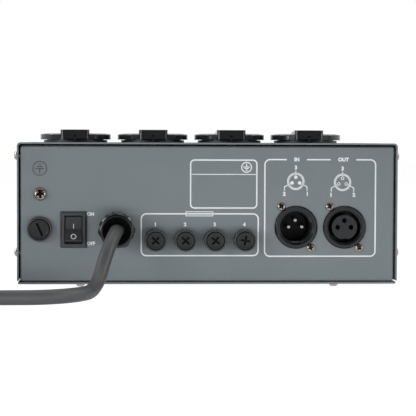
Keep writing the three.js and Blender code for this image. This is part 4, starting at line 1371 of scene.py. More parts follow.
# %% Frame the switch
switch_spot = centre("switch_housing")
bezel_width = 16.6 * mm
bezel_height = 22.9 * mm
bezel_proud = 2.2 * mm
bezel_slope = 1.1 * mm
rocker_width = 10.6 * mm
rocker_radius = 8.5 * mm
switch_body = (13.0 * mm, 19.5 * mm, 14.0 * mm)
tab_pitch = 8.1 * mm


def bezel_outline(inset, corner):
    return rectangle(bezel_width - 2 * inset, bezel_height - 2 * inset, corner, steps=5)


def opening_outline(grow, corner=0.4 * mm):
    width = rocker_width + 2 * clearance + 2 * grow
    return rectangle(width, 2 * (rocker_radius + clearance) + 2 * grow, corner, steps=5)


def make_housing():
    bezel = lofted("bezel", [
        (bezel_outline(0, 0.7 * mm), hair),
        (bezel_outline(0, 0.7 * mm), 0.9 * mm),
        (bezel_outline(0.15 * mm, 0.6 * mm), 1.15 * mm),
        (bezel_outline(bezel_slope, 0.5 * mm), bezel_proud - 0.12 * mm),
        (bezel_outline(bezel_slope + 0.15 * mm, 0.5 * mm), bezel_proud),
        (opening_outline(0.25 * mm, 0.6 * mm), bezel_proud),
        (opening_outline(0.05 * mm, 0.5 * mm), bezel_proud - 0.2 * mm),
        (opening_outline(0), hair),
    ], ring=True)
    width, height, depth = switch_body
    body = prism("body", rectangle(width, height, 0.4 * mm), -depth, 0.8 * mm)
    cut(body, prism("cavity", opening_outline(0), -depth / 2, bezel_proud + sheet))
    tabs = []
    for row in (-1, 0, 1):
        along = (row * tab_pitch - 0.4 * mm, row * tab_pitch + 0.4 * mm)
        tabs.append(block("tab", (-2.4 * mm, 2.4 * mm), along, (-depth - 8 * mm, 0.1 * mm - depth)))
    return gathered("switch_frame", [bezel, body, *tabs])


bezel_plastic = moulded("bezel_plastic", (53, 55, 58), (63, 65, 68), 0.34, 2600, 0.03)
switch_place = on_rear(switch_spot.x, switch_spot.z)
dressed(make_housing(), bezel_plastic, ["switch_housing"], switch_place)
print("switch at x", round(switch_spot.x, 4))

# %% Cut the rocker
rocker_pivot = -1.0 * mm
rocker_throw = math.radians(12)
rocker_face_angle = 27
rocker_tail_angle = -20
rocker_steps = 12


def make_rocker():
    """Two flats that meet in a shallow valley, between two arcs about the pin. Its section
    lies in YZ with X along the pin, as the rocker does on the panel."""
    arc = []
    for k in range(rocker_steps + 1):
        sweep = (rocker_face_angle - rocker_tail_angle) * k / rocker_steps
        angle = math.radians(rocker_tail_angle + sweep)
        arc.append((rocker_radius * math.cos(angle), rocker_radius * math.sin(angle)))
    face_y, face_z = arc[-1]
    dip = face_z - face_y * math.tan(rocker_throw)
    valley = [(0.6 * mm, dip + 0.13 * mm), (0, dip + 0.06 * mm), (-0.6 * mm, dip + 0.13 * mm)]
    mirrored = [(-y, z) for y, z in reversed(arc)]
    keel = [(-2.5 * mm, -4.5 * mm), (2.5 * mm, -4.5 * mm)]
    rocker = prism("rocker", arc + valley + mirrored + keel, 0, rocker_width)
    moved(rocker, along_x(-rocker_width / 2))
    softened(rocker, 0.35 * mm, 3, 30)
    return rocker, dip


rocker_plastic = moulded("rocker_plastic", (42, 44, 47), (50, 52, 55), 0.4, 2600, 0.03)
resting = Matrix.Rotation(-rocker_throw, 4, "X")
rocker_place = on_rear(switch_spot.x, switch_spot.z, rocker_pivot) @ resting
rocker, rocker_dip = make_rocker()
dressed(rocker, rocker_plastic, ["switch_rocker"], rocker_place, "switch_rocker")
print("rocker valley at", round(rocker_dip / mm, 2), "mm over its pin")

# %% Mark the rocker
mark_height = 0.05 * mm


def rocker_mark(path, width, side, closed=False):
    """A mark on one of the rocker's flats: side is 1 for the upper flat and -1 for the lower."""
    mark = ribbon("mark", path, width, -mark_height, mark_height, closed)
    flat = Matrix.Rotation(side * rocker_throw, 4, "X")
    return moved(mark, Matrix.Translation((0, 0, rocker_dip)) @ flat)


marks = gathered("rocker_marks", [
    rocker_mark([(0, 0.2 * mm), (0, 3.2 * mm)], 0.36 * mm, 1),
    rocker_mark(ring_path(1.5 * mm, 0, -5.1 * mm), 0.4 * mm, -1, True),
])
dressed(marks, ink, place=rocker_place, body="switch_rocker")
print("marks:", len(marks.data.polygons), "faces")

# %% [markdown]
# Fuse holders. Each holder is a turned body with a collar, and its cap sits in the mouth with
# a dark gap round it. A slot for a screwdriver crosses the cap. The cap is painted near black
# below its face, as shade in the slot and the gap. The link behind it is a ceramic tube with
# metal ends, seen only when the cap is drawn out.

# %% Turn a fuse holder
cap_head = 2.6 * mm
cap_stem = 5.8 * mm
cap_stem_diameter = 9.2 * mm
cap_sunk = 0.2 * mm
link_diameter = 5.2 * mm
link_length = 20.0 * mm
socket_depth = 4.1 * mm
stem_end = -cap_sunk - cap_head - cap_stem
link_high = stem_end + socket_depth - clearance
link_low = link_high - link_length
nut_corner = 7.5 * mm
nut_thick = 3.0 * mm
tag_half = (2.4 * mm, 0.4 * mm)


def holder_body(diameter, proud, cap, end):
    """Turned about the holder's axis, with the plane of its mouth at z = 0."""
    mouth = cap / 2 + 0.05 * mm
    floor = -cap_sunk - cap_head - clearance
    stem = cap_stem_diameter / 2 + clearance
    bore = link_diameter / 2 + clearance
    return lathed("holder", [
        (0, end),
        (holder_barrel / 2, end, 0.4 * mm),
        (holder_barrel / 2, hair - proud, 0),
        (diameter / 2, hair - proud, 0.15 * mm),
        (diameter / 2, 0, 0.4 * mm),
        (mouth, 0, 0.2 * mm),
        (mouth, floor, 0),
        (stem, floor, 0),
        (stem, stem_end - clearance, 0),
        (bore, stem_end - clearance, 0),
        (bore, link_low - clearance, 0),
        (0, link_low - clearance),
    ], 96, steps=5)


def make_holder(name, diameter, proud, cap):
    end = link_low - clearance - 3 * mm
    nut_top = -proud - sheet - clearance
    nut = prism("nut", ring_path(nut_corner, sides=6), nut_top - nut_thick, nut_top)
    cut(nut, peg("bore", holder_barrel / 2 - 0.02 * mm, nut_top - 4 * mm, nut_top + sheet, 48))
    across, along = [(-half, half) for half in tag_half]
    tag = block("tag", across, along, (end - 7.7 * mm, end + 0.3 * mm))
    return gathered(name, [holder_body(diameter, proud, cap, end), nut, tag])


print("a link lies from", round(link_low / mm, 1), "to", round(link_high / mm, 1), "mm")

# %% Turn a cap
def make_cap(name, cap, slot, turns):
    under = -cap_sunk - cap_head
    dish = -cap_sunk - 0.2 * mm
    head = lathed(name, [
        (0, stem_end),
        (cap_stem_diameter / 2, stem_end, 0.3 * mm),
        (cap_stem_diameter / 2, under, 0),
        (cap / 2 - 0.35 * mm, under, 0.1 * mm),
        (cap / 2 - 0.5 * mm, -cap_sunk, 0.3 * mm),
        (cap / 2 - 1.2 * mm, -cap_sunk, 0.1 * mm),
        (cap / 2 - 1.45 * mm, dish, 0.1 * mm),
        (0, dish),
    ], 96, steps=5)
    radius = link_diameter / 2 + clearance
    tools = [peg("socket", radius, stem_end - sheet, stem_end + socket_depth, 32)]
    for turn in turns:
        groove = lofted("groove", [
            (rectangle(slot * 0.85, 1.1 * mm), -cap_sunk - 2.2 * mm),
            (rectangle(slot, 1.4 * mm), sheet),
        ])
        tools.append(moved(groove, spun(turn)))
    cut(head, *tools)
    return softened(head, 0.08 * mm, 1, 50)


def cap_plastic():
    """Dusty on the cap's face; painted shade, near black, in the slot, the gap round the cap and
    down the stem.
    """
    made = Finish("cap_plastic", "black_plastic")
    # Painted shade: below its face the cap is near black, in the slot and in the gap round it.
    low = made.along("Z") < -cap_sunk - 0.35 * mm
    dust_and_shade = made.noise(1500, 3, 0.6)
    face = made.mixed(dust_and_shade, colour(19, 21, 22), colour(34, 36, 37))
    return made.finished({
        "Base Color": made.mixed(low, face, colour(4, 4, 5)),
        "Roughness": 0.36 + dust_and_shade * 0.1 + low * 0.3,
        "Normal": made.bump(dust_and_shade, 0.25, 0.06 * mm),
    })


fuse_plastic = cap_plastic()

# %% Turn a fuse link
link_cap = 5.5 * mm
link_waist = 4.7 * mm


def make_link(name):
    half = link_length / 2
    return lathed(name, [
        (0, -half),
        (link_diameter / 2, -half, 0.4 * mm),
        (link_diameter / 2, -half + link_cap, 0.15 * mm),
        (link_waist / 2, -half + link_cap, 0.1 * mm),
        (link_waist / 2, half - link_cap, 0.1 * mm),
        (link_diameter / 2, half - link_cap, 0.15 * mm),
        (link_diameter / 2, half, 0.4 * mm),
        (0, half),
    ], 40, steps=3)


def fuse_body(cap_end):
    """A ceramic tube with a metal cap on each end, told apart by distance from its middle."""
    made = Finish("fuse_body", "fuse_ceramic")
    metal = made.node("Math", {"operation": "ABSOLUTE"}, {0: made.along("Z")}) > cap_end
    fleck = made.noise(1200, 2)
    return made.finished({
        "Base Color": made.mixed(metal, colour(222, 218, 208), colour(208, 202, 192)),
        "Metallic": metal,
        "Roughness": 0.5 - metal * 0.24 + fleck * 0.06,
        "Normal": made.bump(fleck, 0.08, 0.03 * mm),
    })


link_finish = fuse_body(link_length / 2 - link_cap + 0.05 * mm)

# %% Set the fuses in the panel
holder_plastic = moulded("holder_plastic", (44, 47, 49), (56, 59, 61), 0.32, 2600, 0.02)
main_size = {"diameter": 15.7 * mm, "proud": 4.0 * mm, "cap": 13.2 * mm, "slot": 9.4 * mm}
channel_size = {"diameter": 13.8 * mm, "proud": 11.0 * mm, "cap": 11.6 * mm, "slot": 6.4 * mm}
slot_turns = {"main": [-66], "1": [45, -45], "2": [45, -45], "3": [52, -38], "4": [80, -10]}
for key in fuse_keys:
    size = main_size if key == "main" else channel_size
    spot = centre(f"fuse_cap_{key}")
    place = on_rear(spot.x, spot.z, size["proud"])
    holder = make_holder(f"fuse_{key}_holder", size["diameter"], size["proud"], size["cap"])
    dressed(holder, holder_plastic, [f"fuse_holder_{key}"], place)
    cap = make_cap(f"fuse_{key}_cap", size["cap"], size["slot"], slot_turns[key])
    dressed(cap, fuse_plastic, [f"fuse_cap_{key}"], place, f"fuse_cap_{key}")
    middle = place @ Matrix.Translation((0, 0, (link_low + link_high) / 2))
    node = f"fuse_link_{key}"
    dressed(make_link(f"fuse_{key}_link"), link_finish, [node], middle, node)
print("fuse holders:", len(fuse_keys), "with links of", round(link_length / mm), "mm")

# %% [markdown]
# Signal connectors. The input has three pins deep in a round shell, with a notch for the
# plug's key. The output has an insert with three sockets, in a ring that is open round it.
# Their stepped rings are one profile turned about the axis, which catches light in thin
# circles. The pins are metal, so they are pieces of their own.

# %% Turn a connector's shell
ring_proud = 1.6 * mm
ring_step = 0.75 * mm
shell_diameter = 23.6 * mm
shell_flange = 3.3 * mm
input_bore = 18.4 * mm
output_bore = 20.2 * mm
signal_depth = 22.0 * mm
ear_screw = (9.4 * mm, 13.0 * mm)
key_half = 2.5 * mm


def shell_ears(bore):
    """The square plate behind the panel that two screws hold."""
    ears = prism("ears", rectangle(26 * mm, 31 * mm, 2 * mm), -shell_flange, 2 * mm - shell_flange)
    tools = [peg("hollow", bore / 2 + 0.8 * mm, -5 * mm, sheet, 96)]
    for side in (-1, 1):
        drill = peg("drill", screw_hole / 2, -5 * mm, sheet)
        place = Matrix.Translation((side * ear_screw[0], -side * ear_screw[1], 0))
        tools.append(moved(drill, place))
    return cut(ears, *tools)


def make_shell(name, bore, keyed):
    outer = ring_diameter / 2
    shelf = ring_proud - ring_step
    lip = min(1.2 * mm, outer - 2.7 * mm - bore / 2)
    shell = turned(name, rounded([
        (bore / 2, -signal_depth),
        (shell_diameter / 2, -signal_depth, 0.3 * mm),
        (shell_diameter / 2, -shell_flange, 0),
        (outer, -shell_flange, 0.1 * mm),
        (outer, shelf, 0.25 * mm),
        (outer - 0.7 * mm, ring_proud, 0.3 * mm),
        (outer - 2.1 * mm, ring_proud, 0.2 * mm),
        (outer - 2.5 * mm, shelf, 0.15 * mm),
        (bore / 2 + lip, shelf, 0.15 * mm),
        (bore / 2, shelf - lip, 0.15 * mm),
    ]), 128)
    welded(shell, shell_ears(bore))
    if keyed:
        along = (-bore / 2 - 1.5 * mm, -bore / 2 + 2 * mm)
        cut(shell, block("notch", (-key_half, key_half), along, (-5.2 * mm, 2.5 * mm)))
    return shell


print("shells:", round(signal_depth / mm), "mm deep behind the panel")

# %% Turn the pins and the inserts
insert_diameter = 16.1 * mm
insert_base = 4.0 * mm
contact_circle = 4.3 * mm
contact_places = [(-contact_circle, 0), (contact_circle, 0), (0, contact_circle)]
pin_radius = 1.2 * mm
pin_sunk = -4.5 * mm
insert_key_half = 2.2 * mm


def make_input_insert():
    bottom = insert_base - signal_depth
    radius = input_bore / 2 - clearance
    return lathed("signal_input_insert", [
        (0, bottom - insert_base),
        (radius, bottom - insert_base, 0.3 * mm),
        (radius, bottom, 0.3 * mm),
        (0, bottom),
    ], 96)


def make_input_pins():
    pins = []
    for x, y in contact_places:
        pin = lathed("pin", [
            (0, -signal_depth - 3 * mm),
            (pin_radius, -signal_depth - 3 * mm, 0.2 * mm),
            (pin_radius, pin_sunk, 0.75 * mm),
            (0, pin_sunk),
        ], 32, steps=6)
        pins.append(moved(pin, Matrix.Translation((x, y, 0))))
    return gathered("signal_input_contacts", pins)


def make_output_insert():
    bottom = insert_base - signal_depth
    radius = output_bore / 2 - clearance
    high = ring_proud - 0.7 * mm
    body = lathed("signal_output_socket", [
        (0, bottom - insert_base),
        (radius, bottom - insert_base),
        (radius, bottom),
        (insert_diameter / 2, bottom, 0),
        (insert_diameter / 2, high, 0.5 * mm),
        (0, high),
    ], 96, steps=5)
    holes = []
    for x, y in contact_places:
        hole = turned("hole", [
            (0, bottom),
            (1.35 * mm, bottom),
            (1.35 * mm, high - 0.45 * mm),
            (1.9 * mm, high + 0.1 * mm),
            (1.9 * mm, 2 * high),
            (0, 2 * high),
        ], 32)
        holes.append(moved(hole, Matrix.Translation((x, y, 0))))
    along = (-insert_diameter, 0.9 * mm - insert_diameter / 2)
    across = (-insert_key_half, insert_key_half)
    return cut(body, *holes, block("key", across, along, (high - 9 * mm, 2 * high)))


print("contacts on a circle of", round(2 * contact_circle / mm, 1), "mm")

# %% Set the connectors in the panel
signal_plastic = moulded("signal_plastic", (20, 22, 24), (28, 30, 32), 0.15, 2600, 0.01)
# Painted shade: the insert deep in the input's shell is near black.
cavity_painted_shade = moulded("cavity_painted_shade", (3, 4, 4), (6, 7, 7), 0.6, 1800, 0.02)
pin_silver = plated("pin_silver", (190, 188, 184), (214, 212, 208), 0.26, 3000)
input_spot = centre("signal_input_shell")
output_spot = centre("signal_output_shell")
input_place = on_rear(input_spot.x, input_spot.z)
output_place = on_rear(output_spot.x, output_spot.z)
input_shell = make_shell("signal_input_ring", input_bore, True)
dressed(input_shell, signal_plastic, ["signal_input_shell"], input_place)
dressed(make_input_insert(), cavity_painted_shade, ["signal_input_pins"], input_place)
dressed(make_input_pins(), pin_silver, place=input_place)
output_shell = make_shell("signal_output_ring", output_bore, False)
dressed(output_shell, signal_plastic, ["signal_output_shell"], output_place)
dressed(make_output_insert(), black_plastic, ["signal_output_insert"], output_place)
print("connectors at x", round(input_spot.x, 4), "and", round(output_spot.x, 4))

# %% Screw the connectors down
signal_head_height = 1.5 * mm
signal_recess = 3.4 * mm
signal_screw_turns = [35, 18, 28, 52]
signal_screw = pan_screw(
    "signal_screw", 5.4 * mm, signal_head_height, 2.9 * mm, 5 * mm, signal_recess)
signal_screw_metal = screw_metal("signal_screw_metal", signal_head_height, signal_recess)
corners = [(spot, side) for spot in (input_spot, output_spot) for side in (-1, 1)]
for k, (spot, side) in enumerate(corners):
    place = on_rear(spot.x + side * ear_screw[0], spot.z - side * ear_screw[1], 0.02 * mm)
    head = placed(f"signal_screw_{k + 1}", signal_screw.data)
    dressed(head, signal_screw_metal, place=place @ spun(signal_screw_turns[k]))
bpy.data.objects.remove(signal_screw)
print("connector screws:", len(corners))

# %% [markdown]
# Cable gland. A nylon collar is held by a nut inside the case, and a domed nut clamps the
# cord. The domed nut is a hexagon and a dome that share one solid: their intersection rounds
# off the six corners as a lathe would, which leaves the curved edges that shine.

# %% Turn the domed nut
gland_across = 20.7 * mm
gland_corner = gland_across / 2 / math.cos(math.pi / 6)
gland_bore = 9.4 * mm
gland_shoulder = 10.6 * mm
gland_face = 9.3 * mm
gland_funnel = 5 * mm
corner_trim = 0.3 * mm
nut_turn = math.radians(64)
nut_low = 5.3 * mm
nut_high = 20.3 * mm
nut_thread_bore = 7.9 * mm
seal_bore = 6.2 * mm
dome_steps = 10


def hexagon(turn, corner, steps=4):
    """A hexagon with round corners, turned about the gland's axis."""
    return rounded(ring_path(gland_corner, sides=6, turn=turn), corner, steps=steps)


def dome_arc():
    """From the nut's shoulder round to its face."""
    start = nut_low + gland_shoulder
    reach = gland_corner - corner_trim - gland_face
    arc = []
    for k in range(dome_steps + 1):
        angle = k * math.pi / 2 / dome_steps
        height = start + (nut_high - start) * math.sin(angle)
        arc.append((gland_face + reach * math.cos(angle), height))
    return arc


def make_dome_nut():
    nut = prism("gland_clamp_nut", hexagon(nut_turn, 0.5 * mm), nut_low, nut_high)
    envelope = turned("dome", [
        (0, nut_low + 0.01 * mm),
        (gland_corner - 0.8 * mm, nut_low + 0.01 * mm),
        (gland_corner - corner_trim, nut_low + 1 * mm),
        *dome_arc(),
        (0, nut_high),
    ], 128)
    combined(nut, [envelope], "INTERSECT")
    hollow = lathed("hollow", [
        (0, nut_low - sheet),
        (nut_thread_bore, nut_low - sheet),
        (nut_thread_bore, 9.3 * mm, 0.3 * mm),
        (seal_bore, 11.3 * mm, 0.5 * mm),
        (seal_bore, 12.5 * mm, 0.5 * mm),
        (gland_bore / 2, 13.2 * mm, 0.2 * mm),
        (gland_bore / 2, nut_high - gland_funnel, 1 * mm),
        (gland_face - 0.5 * mm, nut_high - 0.2 * mm, 0.2 * mm),
        (gland_face - 0.2 * mm, nut_high + 0.3 * mm),
        (0, nut_high + 0.3 * mm),
    ], 96)
    cut(nut, hollow)
    return softened(nut, 0.3 * mm, 3, 24)


gland_spot = centre("gland_dome_nut")
gland_place = on_rear(gland_spot.x, gland_spot.z)
dressed(make_dome_nut(), gland_nylon, ["gland_dome_nut"], gland_place, smooth_angle=40)
print("gland stands", round(nut_high / mm, 1), "mm proud")

# %% Cut the collar and its thread
collar_turn = math.radians(98)
collar_trim = 11.35 * mm
collar_high = 5.0 * mm
thread_turns = 11
thread_pitch = 1.5 * mm
thread_crest = 7.5 * mm
thread_root = 6.9 * mm
thread_start = -8.6 * mm
thread_reach = 9 * mm


def make_thread():
    """The collar's tail, with a ring for each turn of its thread."""
    profile = [(0, -thread_reach), (7.0 * mm, -thread_reach)]
    for k in range(thread_turns):
        z = thread_start + k * thread_pitch
        profile += [
            (thread_crest, z + thread_pitch * 0.25),
            (thread_crest, z + thread_pitch * 0.45),
            (thread_root, z + thread_pitch * 0.8),
        ]
    profile += [(thread_root, thread_reach), (0, thread_reach)]
    return turned("thread", profile, 48)


def make_gland_body():
    collar = prism("collar", hexagon(collar_turn, 0.6 * mm, steps=3), hair, collar_high)
    trim = lathed("trim", [
        (0, hair / 2),
        (collar_trim - 0.3 * mm, hair / 2),
        (collar_trim, 0.6 * mm),
        (collar_trim, collar_high - 1.6 * mm, 0.5 * mm),
        (collar_trim - 1.5 * mm, collar_high, 0.5 * mm),
        (0, collar_high),
    ], 96)
    combined(collar, [trim], "INTERSECT")
    softened(collar, 0.25 * mm, 3, 24)
    return gathered("gland_collar", [collar, make_thread()])


dressed(make_gland_body(), gland_nylon, ["gland_body"], gland_place)
kept("gland_lock_nut", gland_nylon)
print("thread:", thread_turns, "turns of", round(thread_pitch / mm, 1), "mm")

# %% [markdown]
# Print. The panel's frames, numbers and pin diagrams are screen-printed in white. A texture
# could carry them, but thin solids stay sharp at any distance and ride with the case. Lines
# are ribbons along rounded paths, and figures come from Blender's own font, turned to meshes.

# %% Draw lines and figures
ink_low = -0.02 * mm
ink_high = 0.05 * mm
line_width = 0.85 * mm
thin_width = 0.5 * mm
frame_corner = 3.2 * mm
letter_share = 0.7


def figure(text, height, x, z):
    """A figure of Blender's font as a thin solid, its middle at (x, z)."""
    letters = bpy.data.curves.new("figure", "FONT")
    letters.body = text
    letters.size = height / letter_share
    letters.align_x = "CENTER"
    letters.align_y = "CENTER"
    letters.extrude = (ink_high - ink_low) / 2
    letters.offset = height * 0.08
    written = placed("figure", letters)
    graph = bpy.context.evaluated_depsgraph_get()
    graph.update()
    mesh = bpy.data.meshes.new_from_object(written.evaluated_get(graph))
    bpy.data.objects.remove(written)
    return moved(placed("figure", mesh), Matrix.Translation((x, z, (ink_high + ink_low) / 2)))


def line(path, width=line_width, closed=False):
    return ribbon("line", path, width, ink_low, ink_high, closed)


def disc(radius, x, z):
    return prism("dot", ring_path(radius, x, z, 24), ink_low, ink_high)


def framed(left, low, right, high, gaps=(), corner=frame_corner):
    """A frame with round corners, and gaps in its top line for what stands there."""
    corners = [(right, high), (right, low), (left, low), (left, high)]
    if not gaps:
        return [line(rounded(corners, corner, steps=6), closed=True)]
    starts = [left] + [end for start, end in gaps]
    ends = [start for start, end in gaps] + [right]
    around = [(left, high), (left, low), (right, low), (right, high)]
    outer = [(ends[0], high), *around, (starts[-1], high)]
    lines = [line(rounded(outer, corner, closed=False, steps=6))]
    for start, end in list(zip(starts, ends))[1:-1]:
        lines.append(line([(start, high), (end, high)]))
    return lines


print("ink stands", round(ink_high / mm, 2), "mm proud")

# %% Draw the pin diagrams
diagram_rings = [4.5 * mm, 5.25 * mm]
diagram_dots = [(0, 2.6), (-2.4, -1.0), (2.4, -1.0)]
diagram_leads = [
    [(0, 3.4), (0, 6.7)],
    [(-3.1, -1.35), (-7.15, -3.5), (-7.15, -5.9)],
    [(3.1, -1.35), (7.15, -3.5), (7.15, -5.9)],
]
diagram_ends = [(0, 8.6), (-7.3, -8.0), (7.3, -8.0)]


def pin_diagram(x, z, solid, numbers):
    """A ring with three dots, and a numbered line from each of them."""
    def at(point):
        return x + point[0] * mm, z + point[1] * mm

    marks = [line(ring_path(radius, x, z, 56), thin_width, True) for radius in diagram_rings]
    for k, number in enumerate(numbers):
        dot = at(diagram_dots[k])
        if solid:
            marks.append(disc(1.1 * mm, *dot))
        else:
            marks.append(line(ring_path(0.85 * mm, *dot, 24), 0.45 * mm, True))
        marks.append(line([at(point) for point in diagram_leads[k]], 0.55 * mm))
        marks.append(figure(number, 2.3 * mm, *at(diagram_ends[k])))
    return marks


print("a diagram is", round(2 * diagram_rings[1] / mm, 1), "mm across")

# %% Print on the rear panel
def frame_marks():
    marks = framed(*label, corner=2.4 * mm)
    marks.append(line([(label[0], label_line), (label[2], label_line)], thin_width))
    marks += framed(*fuse_frame)
    marks += framed(*signal_frame, gaps=[(49.5 * mm, 62.3 * mm), (77.4 * mm, 93.7 * mm)])
    return marks


def sign_marks():
    """The earth sign in the label, and the fuse sign on the fuses' frame."""
    marks = []
    for path, closed in earth_strokes(3.1 * mm, -1):
        lifted = [(x + 24.1 * mm, z + 75.8 * mm) for x, z in path]
        marks.append(line(lifted, 0.65 * mm, closed))
    fuse_sign = rectangle(17.0 * mm, 2.6 * mm, 0, -5.6 * mm, fuse_frame[3])
    marks.append(line(fuse_sign, thin_width, True))
    return marks


def word_marks():
    marks = [figure(key, 2.2 * mm, centre(f"fuse_cap_{key}").x, 39.6 * mm) for key in fuse_keys[1:]]
    marks.append(figure("IN", 2.2 * mm, 55.9 * mm, signal_frame[3]))
    marks.append(figure("OUT", 2.2 * mm, 85.5 * mm, signal_frame[3]))
    marks.append(figure("ON", 2.0 * mm, -74.0 * mm, 46.1 * mm))
    marks.append(figure("OFF", 2.0 * mm, -73.7 * mm, 27.6 * mm))
    return marks


def printed():
    marks = frame_marks() + sign_marks() + word_marks()
    marks += pin_diagram(55.3 * mm, 67.0 * mm, True, "321")
    marks += pin_diagram(85.0 * mm, 66.4 * mm, False, "312")
    return gathered("panel_print", marks)


label = (-11.2 * mm, 50.1 * mm, 30.6 * mm, 80.3 * mm)
label_line = 71.3 * mm
fuse_frame = (-42.2 * mm, 20.0 * mm, 31.6 * mm, 46.4 * mm)
signal_frame = (35.7 * mm, 19.6 * mm, 106.0 * mm, 80.7 * mm)
panel_print = dressed(printed(), ink, place=on_rear(0, 0))
print("print:", len(panel_print.data.polygons), "faces")

# %% [markdown]
# Front, boards and inside. The front panel carries a smoked window and four push-buttons. The
# boards and the heat sink show only through the vents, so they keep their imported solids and
# get a finish each.

# %% Set the window in the front panel
pane_gap = 0.6 * mm
pane_depth = 2.9 * mm
rim_width = 2 * mm
rim_level = -1.3 * mm


def make_window():
    """A pane that fills the panel's opening, and a rim behind the panel that holds it."""
    width, height = window_width - pane_gap, window_height - pane_gap
    outline = rectangle(width, height, window_corner, steps=6)
    pane = prism("window_pane", outline, -pane_depth, 0)
    width, height = window_width + 2 * rim_width, window_height + 2 * rim_width
    outline = rectangle(width, height, window_corner, steps=6)
    welded(pane, prism("rim", outline, -pane_depth, rim_level))
    return softened(pane, 0.25 * mm, 3)


def smoked_filter():
    made = Finish("smoked_filter", "display_red")
    cloud = made.noise(70, 2)
    return made.finished({
        "Base Color": made.mixed(cloud, colour(52, 8, 12), colour(70, 12, 16)),
        "Roughness": 0.1 + cloud * 0.06,
        "Coat Weight": 0.5,
        "Coat Roughness": 0.05,
    })


window_spot = centre("display_window")
window_place = on_front(window_spot.x, window_spot.z)
dressed(make_window(), smoked_filter(), ["display_window"], window_place)
print("window:", round(window_width / mm), "by", round(window_height / mm), "mm")

# %% Mould the buttons
def make_button():
    """Its stem reaches the switch behind, and a shoulder keeps it from falling out."""
    return lathed("button", [
        (0, -7.2 * mm),
        (1.5 * mm, -7.2 * mm, 0.3 * mm),
        (1.5 * mm, -2.5 * mm, 0),
        (4.7 * mm, -2.5 * mm, 0.2 * mm),
        (4.7 * mm, -1.3 * mm, 0.2 * mm),
        (3.5 * mm, -1.3 * mm, 0),
        (3.5 * mm, 1.8 * mm, 0.6 * mm),
        (2.2 * mm, 1.8 * mm, 0.4 * mm),
        (0, 1.6 * mm),
    ], 64, steps=5)


button_plastic = moulded("button_plastic", (30, 31, 33), (38, 39, 41), 0.38, 2400, 0.03)
button = make_button()
for name in button_names:
    spot = centre(name)
    key = placed(name + "_key", button.data)
    dressed(key, button_plastic, [name], on_front(spot.x, spot.z), name)
bpy.data.objects.remove(button)
print("buttons:", len(button_names))

# %% Finish the boards and the heat sink
board_thick = 1.8 * mm
power_level = foot_height + plate_sheet + 7.9 * mm
control_level = front_face - 13.7 * mm


def board(name, axis, level):
    """Green laminate at a level along an axis, and dark parts beyond its two faces."""
    made = Finish(name, "board_green")
    height = made.along(axis)
    laminate = (height > level) * (height < level + board_thick)
    fleck = made.noise(500, 2)
    green = made.mixed(fleck, colour(28, 84, 46), colour(40, 104, 58))
    parts = made.mixed(made.noise(38, 0) > 0.52, colour(38, 38, 42), colour(122, 72, 38))
    return made.finished({
        "Base Color": made.mixed(laminate, parts, green),
        "Roughness": 0.35 + fleck * 0.2,
        "Normal": made.bump(fleck, 0.15, 0.1 * mm),
    })


sink_metal = plated(
    "sink_metal", (186, 188, 190), (206, 208, 210), 0.36, 1800, "sink_aluminium")
kept("power_board", board("power_laminate", "Z", power_level))
kept("control_board", board("control_laminate", "Y", control_level))
kept("heat_sink", sink_metal)

# %% [markdown]
# Plug, tie and the lead's own finish. The plug is a round moulding with a waisted grip, a
# ribbed tail that eases the cord's bend, two solid pins and earth strips in its flanks. The
# coil is held by a strap, drawn as a loop round the turns.

# %% Mould the plug
plug_radius = 18.2 * mm
plug_high = 47 * mm
plug_grip = 34.2 * mm
groove_half = 3.5 * mm
tail_ribs = 7
tail_pitch = 3.0 * mm
tail_radii = (5.4 * mm, 7.8 * mm)


def tail_profile():
    """Ribs that widen from the cord's end towards the grip."""
    thin, thick = tail_radii
    profile = [(0, 0), (4.7 * mm, 0)]
    for k in range(tail_ribs):
        z = 1 * mm + k * tail_pitch
        radius = thin + (thick - thin) * k / (tail_ribs - 1)
        profile += [
            (radius, z, 0.4 * mm),
            (radius, z + 1.7 * mm, 0.4 * mm),
            (radius - 0.9 * mm, z + 2.0 * mm, 0.2 * mm),
            (radius - 0.9 * mm, z + 2.8 * mm, 0.2 * mm),
        ]
    return profile


def make_plug():
    body = lathed("plug_moulding", [
        *tail_profile(),
        (7.9 * mm, 23.5 * mm, 1 * mm),
        (16.0 * mm, 33 * mm, 4 * mm),
        (plug_radius, plug_grip, 0.8 * mm),
        (plug_radius, plug_high, 0.8 * mm),
        (0, plug_high),
    ], 96, steps=5)
    across = (-groove_half, groove_half)
    grooves = []
    for side in (-1, 1):
        along = (side * 13.5 * mm, side * 20 * mm)
        grooves.append(block("groove", across, along, (32 * mm, plug_high + 1 * mm)))
    cut(body, *grooves)
    return softened(body, 0.4 * mm, 3, 50)


plug_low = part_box("mains_plug")[0]
plug_spot = centre("mains_plug")
plug_turn = Matrix.Rotation(-math.pi / 2, 4, "X")
plug_place = Matrix.Translation((plug_spot.x, plug_low.y, plug_spot.z)) @ plug_turn
plug = dressed(make_plug(), black_plastic, ["mains_plug"], plug_place)
print("plug:", round(plug_high / mm), "mm long without its pins")

# %% Fit the plug's pins and earth strips
plug_pin_radius = 2.4 * mm
plug_pin_end = 66 * mm
strip_half = 2.2 * mm


def make_plug_metal():
    pieces = []
    for side in (-1, 1):
        pin = lathed("pin", [
            (0, plug_high - 1 * mm),
            (plug_pin_radius, plug_high - 1 * mm),
            (plug_pin_radius, plug_pin_end, 1.5 * mm),
            (0, plug_pin_end),
        ], 40, steps=6)
        pieces.append(moved(pin, Matrix.Translation((side * pin_spacing / 2, 0, 0))))
        along = (side * 13.4 * mm, side * 14.1 * mm)
        up = (35 * mm, 46.4 * mm)
        pieces.append(block("strip", (-strip_half, strip_half), along, up))
    return softened(gathered("plug_contacts", pieces), 0.2 * mm, 2, 50)


plug_metal = dressed(make_plug_metal(), nickel, place=plug_place)
print("plug pins:", round((plug_pin_end - plug_high) / mm), "mm long")

tie_inner = 35.6 * mm
tie_outer = 56.2 * mm
tie_high = 17.9 * mm
tie_sheet = 0.7 * mm
tie_width = 9.0 * mm


